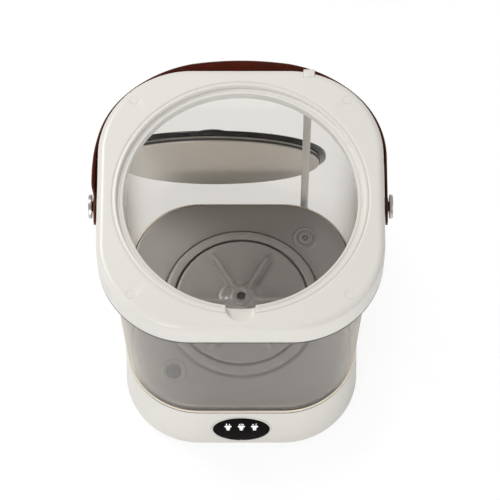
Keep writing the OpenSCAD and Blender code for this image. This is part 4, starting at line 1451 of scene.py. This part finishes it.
@dataclass
class Panel:
    """The round touch panel: lens, bezel and three lit signs."""

    lens_r: float = 25.5
    bezel: float = 1.4
    z: float = 40.2
    deep: float = 1.2
    proud: float = 0.35
    pitch: float = 11.9
    sign_low: float = 1.0
    sign_scale: float = 0.88
    line: float = 0.06
    sunk: float = 0.02
    window_in: float = 2.5
    pip_in: float = 0.5
    pip_low: float = 0.2

    def frame_of(self, base: Base) -> tuple[Array, tuple[float, float, float]]:
        """Turn and place that take the panel's own axes to the washer's, with +Z out of the base's front."""
        tilt = math.degrees(math.atan(base.draft / (base.top - base.bottom)))
        return turn_x(90 - tilt), (0, -base.half_at(self.z), self.z)

    def recess(self) -> Array:
        """Rings of the tool for the panel's seat."""
        return hole_tool(self.lens_r + self.bezel + 0.1, -self.deep, 0, 0.5, segments=90)

    def window(self) -> Array:
        """Rings of the tool for the hole behind the lens."""
        r = self.lens_r - self.window_in
        return spun([(r, -8), (r, 3)], 64)

    def rim(self) -> Array:
        """Find the rings of the bezel, a raised bead.

        Returns:
            Rings for skin().
        """
        low, r0, r1 = -self.deep, self.lens_r + 0.05, self.lens_r + self.bezel
        half = (r1 - r0) / 2
        return spun([(r0, low), (r1, low), *quarter_round((r0 + half, 0.1), half, 0, 180, 9)], 96)

    def glass(self) -> Array:
        """Rings of the lens, a thin plate with a rounded edge."""
        r, t = self.lens_r, self.proud
        return spun([(r, -self.deep), *quarter_round((r - 0.3, t - 0.3), 0.3, 0, 90, 5)], 96)

    def plate(self, points: Array) -> Array:
        """Rings of a thin printed shape with this outline in the panel's plane."""
        low = self.proud - self.sunk
        return np.array([np.column_stack([points, np.full(len(points), z)]) for z in (low, low + self.line)])

    def shirt(self) -> Array:
        """Draw a shirt: a body, two sleeves and a round neck.

        Returns:
            Its outline as an array of (points, 2).
        """
        right = np.array([[1.9, 0.0], [1.9, 4.6], [3.2, 3.8], [3.7, 6.3], [1.6, 8.6]])
        angle = np.radians(np.linspace(-30, -150, 7))
        neck = np.stack([np.cos(angle) * 0.95, 8.9 + np.sin(angle) * 1.2], 1)
        left = right[::-1] * [-1, 1]
        return np.concatenate([right, neck, left])

    def drop(self, x: float, y: float, size: float) -> Array:
        """Draw a drop: a circle whose upper half is narrowed and drawn up by the cube of its height.

        Args:
            x: the circle's centre across the panel.
            y: its centre up the panel.
            size: its radius.

        Returns:
            The outline as an array of (points, 2).
        """
        angle = np.linspace(-np.pi, np.pi, 20, endpoint=False)
        lift = np.maximum(np.sin(angle), 0) ** 3
        return np.stack([x + size * np.cos(angle) * (1 - 0.75 * lift), y + size * (np.sin(angle) + 0.9 * lift)], 1)

    def dash(self, x: float, y: float, width: float, tall: float) -> Array:
        """Draw a short bar with rounded ends.

        Args:
            x: its centre across the panel.
            y: its centre up the panel.
            width: its width.
            tall: its height.

        Returns:
            The outline as an array of (points, 2).
        """
        c, s = circle(24)
        r = min(width, tall) / 2
        return np.stack([x + r * c + np.sign(c) * (width / 2 - r), y + r * s + np.sign(s) * (tall / 2 - r)], 1)

    def signs(self) -> dict[str, list[Array]]:
        """Outlines of the three signs.

        Returns:
            For each sign's name, its outlines.
        """
        shapes = {
            "sign_quick": [self.dash(-1.6, 11.6, 1.0, 3.2), self.dash(1.5, 11.2, 1.0, 2.4)],
            "sign_deep": [self.drop(-1.8, 10.9, 0.8), self.drop(1.8, 10.9, 0.8), self.drop(0, 11.8, 0.8)],
            "sign_spin": [self.dash(-1.7, 11.0, 1.8, 1.4), self.dash(1.5, 12.0, 1.8, 1.4)],
        }
        foot = self.dash(0, -2.6, 3.6, 2.6)
        return {name: [self.shirt(), foot, *marks] for name, marks in shapes.items()}

    def build(self, base: Base) -> None:
        """Build and dress the panel.

        Args:
            base: the base that it is set into.
        """
        turn, spot = self.frame_of(base)
        lens = skin("touch_lens", moved(self.glass(), turn, spot))
        dress(lens, Finish.BLACK_GLOSS, "root", "panel_lens")
        lens.data.materials[0] = Gloss((0.006, 0.005, 0.005), mirror=0.006).make("lens_black")
        bezel = skin("lens_bezel", moved(self.rim(), turn, spot), hollow=True)
        dress(bezel, Finish.WHITE_SHELL, "root", "panel_bezel")
        ink = LitInk().make("lit_ink")
        for k, (name, outlines) in enumerate(self.signs().items()):
            for part, points in enumerate(outlines):
                place = points * self.sign_scale + [(k - 1) * self.pitch, self.sign_low]
                piece = skin(f"{name}_{part}", moved(self.plate(place), turn, spot))
                dress(piece, Finish.WHITE_SHELL, "root")
                piece.data.materials[0] = ink
        pip = spun([(0.9, 0), (0.8, 0.35), (0.45, 0.6), (0.2, 0.66)], 24)
        pip = moved(pip, UPRIGHT, (0, -self.lens_r + self.pip_in, self.pip_low))
        pip = skin("panel_pip", moved(pip, turn, spot))
        dress(pip, Finish.NYLON, "root")


@dataclass
class Lid:
    """The black lid, standing on its edge behind the tub.

    The stand is its angle from the floor in degrees, and the meld how sharply the tab's sides meet its rim.
    """

    radius: float = 103.3
    thick: float = 4.0
    tab_r: float = 11.8
    tab_past: float = 5.5
    liner_r: float = 96.7
    stand: float = 75.0
    meld: float = 0.7
    first_angle: float = 0.003
    inner: float = 90.0
    points: int = 288

    def reach(self, angle: Array) -> Array:
        """Find the radius of the outline: the disc's, or the tab's circle where that lies further out.

        The two meet in a soft corner: the result is the logarithm of the sum of their exponentials, taken from
        the disc's scale and stretched by the meld.

        Args:
            angle: angles in radians.

        Returns:
            The radius at each angle.
        """
        centre = self.radius + self.tab_past - self.tab_r
        away = angle + np.pi / 2
        inside = self.tab_r**2 - (centre * np.sin(away)) ** 2
        tab = np.where((inside > 0) & (np.cos(away) > 0), centre * np.cos(away) + np.sqrt(np.maximum(inside, 0)), 0)
        k, shift = self.meld, 100
        return np.log(np.exp((self.radius - shift) * k) + np.exp((tab - shift) * k)) / k + shift

    def disc(self) -> bpy.types.Object:
        """Build the disc: its rim follows the outline, with a rounded top edge and a broken lower one.

        Returns:
            The piece, in its own axes moved to where it stands.
        """
        angle = np.linspace(-np.pi, np.pi, self.points, endpoint=False) + self.first_angle
        edge = self.reach(angle)
        edge = np.where(edge < self.radius + 0.02, self.radius, edge)
        unit = np.stack([np.cos(angle), np.sin(angle)], 1)
        t = self.thick
        profile = [(self.inner, 0.0), (0.7, 0.0), (0.2, 0.2), (0.0, 0.7), (0.0, t - 1.3),
                   *quarter_round((1.3, t - 1.3), 1.3, 180, 90, 6)[1:], (2.2, t), (30, t), (self.inner, t)]
        rings = [np.column_stack([unit * (edge - d)[:, None], np.full(len(angle), z)]) for d, z in profile]
        low, high = node_box("lid_liner")
        c, s = math.cos(math.radians(self.stand)), math.sin(math.radians(self.stand))
        spot = ((low[0] + high[0]) / 2, high[1] - self.liner_r * c, high[2] - self.liner_r * s)
        return skin("lid_top", moved(np.array(rings), turn_x(-self.stand), spot))

    def build(self) -> None:
        """Build and dress the lid."""
        dress(self.disc(), Finish.BLACK_GLOSS, "lid", "lid_disc")


@dataclass
class Drain:
    """The drain hose up the back of the tub."""

    x: float = 58.0
    outlet_z: float = 36.0
    radius: float = 3.5
    straight_from: float = 70.0
    bend_low: float = 215.0
    bend_high: float = 252.0
    around: int = 28

    def hose(self) -> bpy.types.Object:
        """Build the hose: a round section carried up a line that eases outwards along a smooth step.

        Returns:
            The piece.
        """
        low, high = node_box("drain_hose")
        z = np.concatenate([[low[2], low[2] + 4], np.linspace(self.straight_from, self.bend_low, 12),
                            np.linspace(self.bend_low + 2, high[2], 24)])
        start_y, end_y = low[1] + self.radius, high[1] - self.radius
        y = start_y + (end_y - start_y) * smooth_step(z, self.bend_low, self.bend_high)
        slope = np.gradient(y, z)
        c, s = (part[None] for part in circle(self.around))
        lean = 1 / np.sqrt(1 + slope**2)
        rings = np.stack([
            np.broadcast_to(self.x + self.radius * c, (len(z), self.around)),
            y[:, None] + self.radius * s * lean[:, None],
            z[:, None] - self.radius * s * (slope * lean)[:, None]], -1)
        return skin("drain_hose_tube", rings)

    def build(self) -> None:
        """Build and dress the hose."""
        dress(self.hose(), Finish.HOSE, "root", "drain_hose")


@dataclass
class Clip:
    """The clip over the collar's rear edge, whose lower end holds the hose."""

    half_w: float = 4.8
    edge: float = 0.6
    front_y: float = 112.0
    block_low: float = 294.8
    plate: float = 1.4
    back_round: float = 5.2
    hold_tall: float = 4.0
    hold_wall: float = 1.1
    slot: float = 3.0

    def side_view(self, high: Array, low_z: float, inset: float) -> Array:
        """Find the outline of the plate with the block on top of it.

        Args:
            high: the clip's highest corner.
            low_z: its foot.
            inset: how far the outline is moved in.

        Returns:
            Points in Y and Z as an array of (points, 2).
        """
        back, top, r = high[1] - inset, high[2] - inset, self.back_round
        arc = quarter_round((high[1] - r, high[2] - r), r - inset, 90, 0, 10)
        front, under = self.front_y + inset, self.block_low + inset
        inner, foot = high[1] - self.plate + inset, low_z + inset
        return np.concatenate([[[front, under], [front, top]], arc, [[back, foot], [inner, foot], [inner, under]]])

    def build(self) -> None:
        """Build and dress the clip: the side view carried across, the holder joined on, its bore and slot cut."""
        low, high = node_box("hose_clip")
        plug_low, plug_high = node_box("hose_plug")
        (x, y), bore = (plug_low + plug_high)[:2] / 2, (plug_high[0] - plug_low[0]) / 2 + 0.05
        turn = np.radians([90, 60, 30, 0])
        across = self.half_w - self.edge * (1 - np.sin(turn))
        insets = self.edge * (1 - np.cos(turn))
        steps = [*zip(-across, insets), *zip(across[::-1], insets[::-1])]
        views = [self.side_view(high, low[2], inset) for _, inset in steps]
        rings = [np.column_stack([np.full(len(v), x + step[0]), v]) for v, step in zip(views, steps)]
        body = skin("hose_clip_body", np.array(rings))
        for r, past, cut in ((bore + self.hold_wall, 0, Cut.JOIN), (bore, 1, Cut.AWAY)):
            bar = spun([(r, low[2] - past), (r, low[2] + self.hold_tall + past)], 48)
            carve(body, tool(bar, shift=(x, y, 0)), cut)
        carve(body, block((x - self.slot, y - 20, low[2] - 1), (x + self.slot, y, low[2] + self.hold_tall + 1)))
        dress(body, Finish.WHITE_SHELL, "root", "hose_clip")


@dataclass
class Hardware:
    """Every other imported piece, which keeps its shape and takes its finish.

    Small pieces that are seen have their edges rounded by a modifier.
    """

    weld_gap: float = 0.002
    sharp_deg: float = 40.0
    blackened: tuple[str, ...] = ("pulsator_screw",)
    welded: tuple[str, ...] = ("drain_elbow",)
    rounded: dict[str, float] = field(default_factory=lambda: {
        "screw_caps": 0.35, "hose_plug": 0.5, "drain_strainer": 0.3,
        "level_sensor": 0.3, "strap_eyelets": 0.3, "dc_jack": 0.3, "lid_liner": 0.6, "rubber_feet": 0.5})

    def weld(self, node: bpy.types.Object) -> None:
        """Merge a node's points that coincide."""
        node.modifiers.new("join", "WELD").merge_threshold = self.weld_gap * MM

    def ease(self, node: bpy.types.Object, width: float) -> None:
        """Round a node's sharp edges.

        Args:
            node: the node.
            width: how far the rounding reaches from each edge.
        """
        self.weld(node)
        bevel = node.modifiers.new("ease", "BEVEL")
        bevel.width, bevel.segments = width * MM, 3
        bevel.limit_method, bevel.angle_limit = "ANGLE", math.radians(self.sharp_deg)
        bevel.harden_normals = True

    def build(self) -> None:
        """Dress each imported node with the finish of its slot."""
        dark = Brushed((0.09, 0.09, 0.095), roughness=0.45).make("blackened_steel")
        for part in frame["record"]["subparts"]:
            name = part["node"]
            node = frame["nodes"][name]
            node.data.materials.clear()
            own = dark if name in self.blackened else PALETTE.material(Finish(part["material_slot"]))
            node.data.materials.append(own)
            if name in self.rounded:
                self.ease(node, self.rounded[name])
            if name in self.welded:
                self.weld(node)
            LOG.info("%s: %s", name, own.name)


@dataclass
class Studio:
    """Pale floor, soft lamps and the camera."""

    floor_half_m: float = 6.0
    camera_m: tuple[float, float, float] = (0.0078, -1.09044, 2.54928)
    camera_tilt: float = 24.838
    lens_mm: float = 216.08
    sensor_mm: float = 36.0
    sky: float = 0.44
    floor_grey: float = 0.88
    floor_white: float = 1.07
    floor_clear: float = 0.8
    aim_m: tuple[float, float, float] = (0.0, 0.0, 0.2)
    lamps: tuple[tuple[str, Spot, float, float], ...] = (
        ("key", (-1.1, 1.0, 2.1), 31, 1.0),
        ("front", (-0.8, -2.4, 0.7), 23, 1.2),
        ("fill", (2.0, -0.9, 1.3), 9, 1.4))

    def floor(self) -> None:
        """Build the floor: white to the eye, with the shadows that the lamps give it."""
        h = self.floor_half_m / MM
        points = np.array([[-h, -h, 0], [h, -h, 0], [h, h, 0], [-h, h, 0]])
        floor = as_mesh("studio_floor", points, np.array([[0, 1, 2, 3]]))
        material = bpy.data.materials.new("studio_white")
        shade = Shade(material)
        grey = self.floor_grey
        lit = shade.get("ShaderNodeBsdfDiffuse", 0, inputs={0: (grey, grey, grey, 1)})
        white = shade.get("ShaderNodeEmission", 0, inputs={0: (1, 1, 1, 1), 1: self.floor_white})
        shade.surface(shade.mix_shaders(shade.seen() * self.floor_clear, lit, white))
        floor.data.materials.append(material)

    def world(self) -> None:
        """Fill the world with even soft light that looks white behind the object."""
        world = bpy.data.worlds.new("studio")
        bpy.context.scene.world = world
        shade = Shade(world)
        soft = shade.get("ShaderNodeBackground", 0, inputs={0: (1, 1, 1, 1), 1: self.sky})
        white = shade.get("ShaderNodeBackground", 0, inputs={0: (1, 1, 1, 1), 1: 1.0})
        shade.surface(shade.mix_shaders(shade.seen(), soft, white))

    def lamp(self, name: str, place: Spot, watts: float, size: float) -> None:
        """Add a soft square lamp aimed at the washer.

        Args:
            name: its name.
            place: its position in metres.
            watts: its power.
            size: its width in metres.
        """
        data = bpy.data.lights.new(name, "AREA")
        data.energy, data.size = watts, size
        lamp = bpy.data.objects.new(name, data)
        bpy.context.scene.collection.objects.link(lamp)
        aim = Vector(self.aim_m) - Vector(place)
        lamp.location = place
        lamp.rotation_euler = aim.to_track_quat("-Z", "Y").to_euler()

    def camera(self) -> None:
        """Add the camera, high in front of the washer."""
        data = bpy.data.cameras.new("camera")
        data.lens, data.sensor_width = self.lens_mm, self.sensor_mm
        camera = bpy.data.objects.new("camera", data)
        bpy.context.scene.collection.objects.link(camera)
        camera.location = self.camera_m
        camera.rotation_euler = (math.radians(self.camera_tilt), 0, 0)
        bpy.context.scene.camera = camera

    def build(self) -> None:
        """Build the studio."""
        bpy.context.scene.view_settings.view_transform = "Standard"
        self.floor()
        self.world()
        for lamp in self.lamps:
            self.lamp(*lamp)
        self.camera()


def main() -> None:
    """Build the washer's looks in order."""
    logging.basicConfig(level=logging.INFO, format="%(message)s")
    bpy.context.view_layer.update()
    Studio().build()
    Hardware().build()
    seam, trim_top = node_box("base_shell")[1][2], node_box("trim_ring")[1][2]
    base, drain = Base(top=seam, trim_top=trim_top), Drain()
    panel = Panel(z=node_centre("panel_lens")[2])
    base.build(panel, drain)
    panel.build(base)
    ring_top = node_box("tub_floor")[1][2]
    Tub(foot_z=trim_top + 0.3, foot_low=node_box("tub_wall")[0][2], floor_z=ring_top - Tub.ring_rise,
        flange_low=seam - Base.ledge_down).build()
    Collar().build()
    Handle().build()
    Pulsator().build()
    Lid().build()
    drain.build()
    Clip().build()


if __name__ == "__main__":
    main()
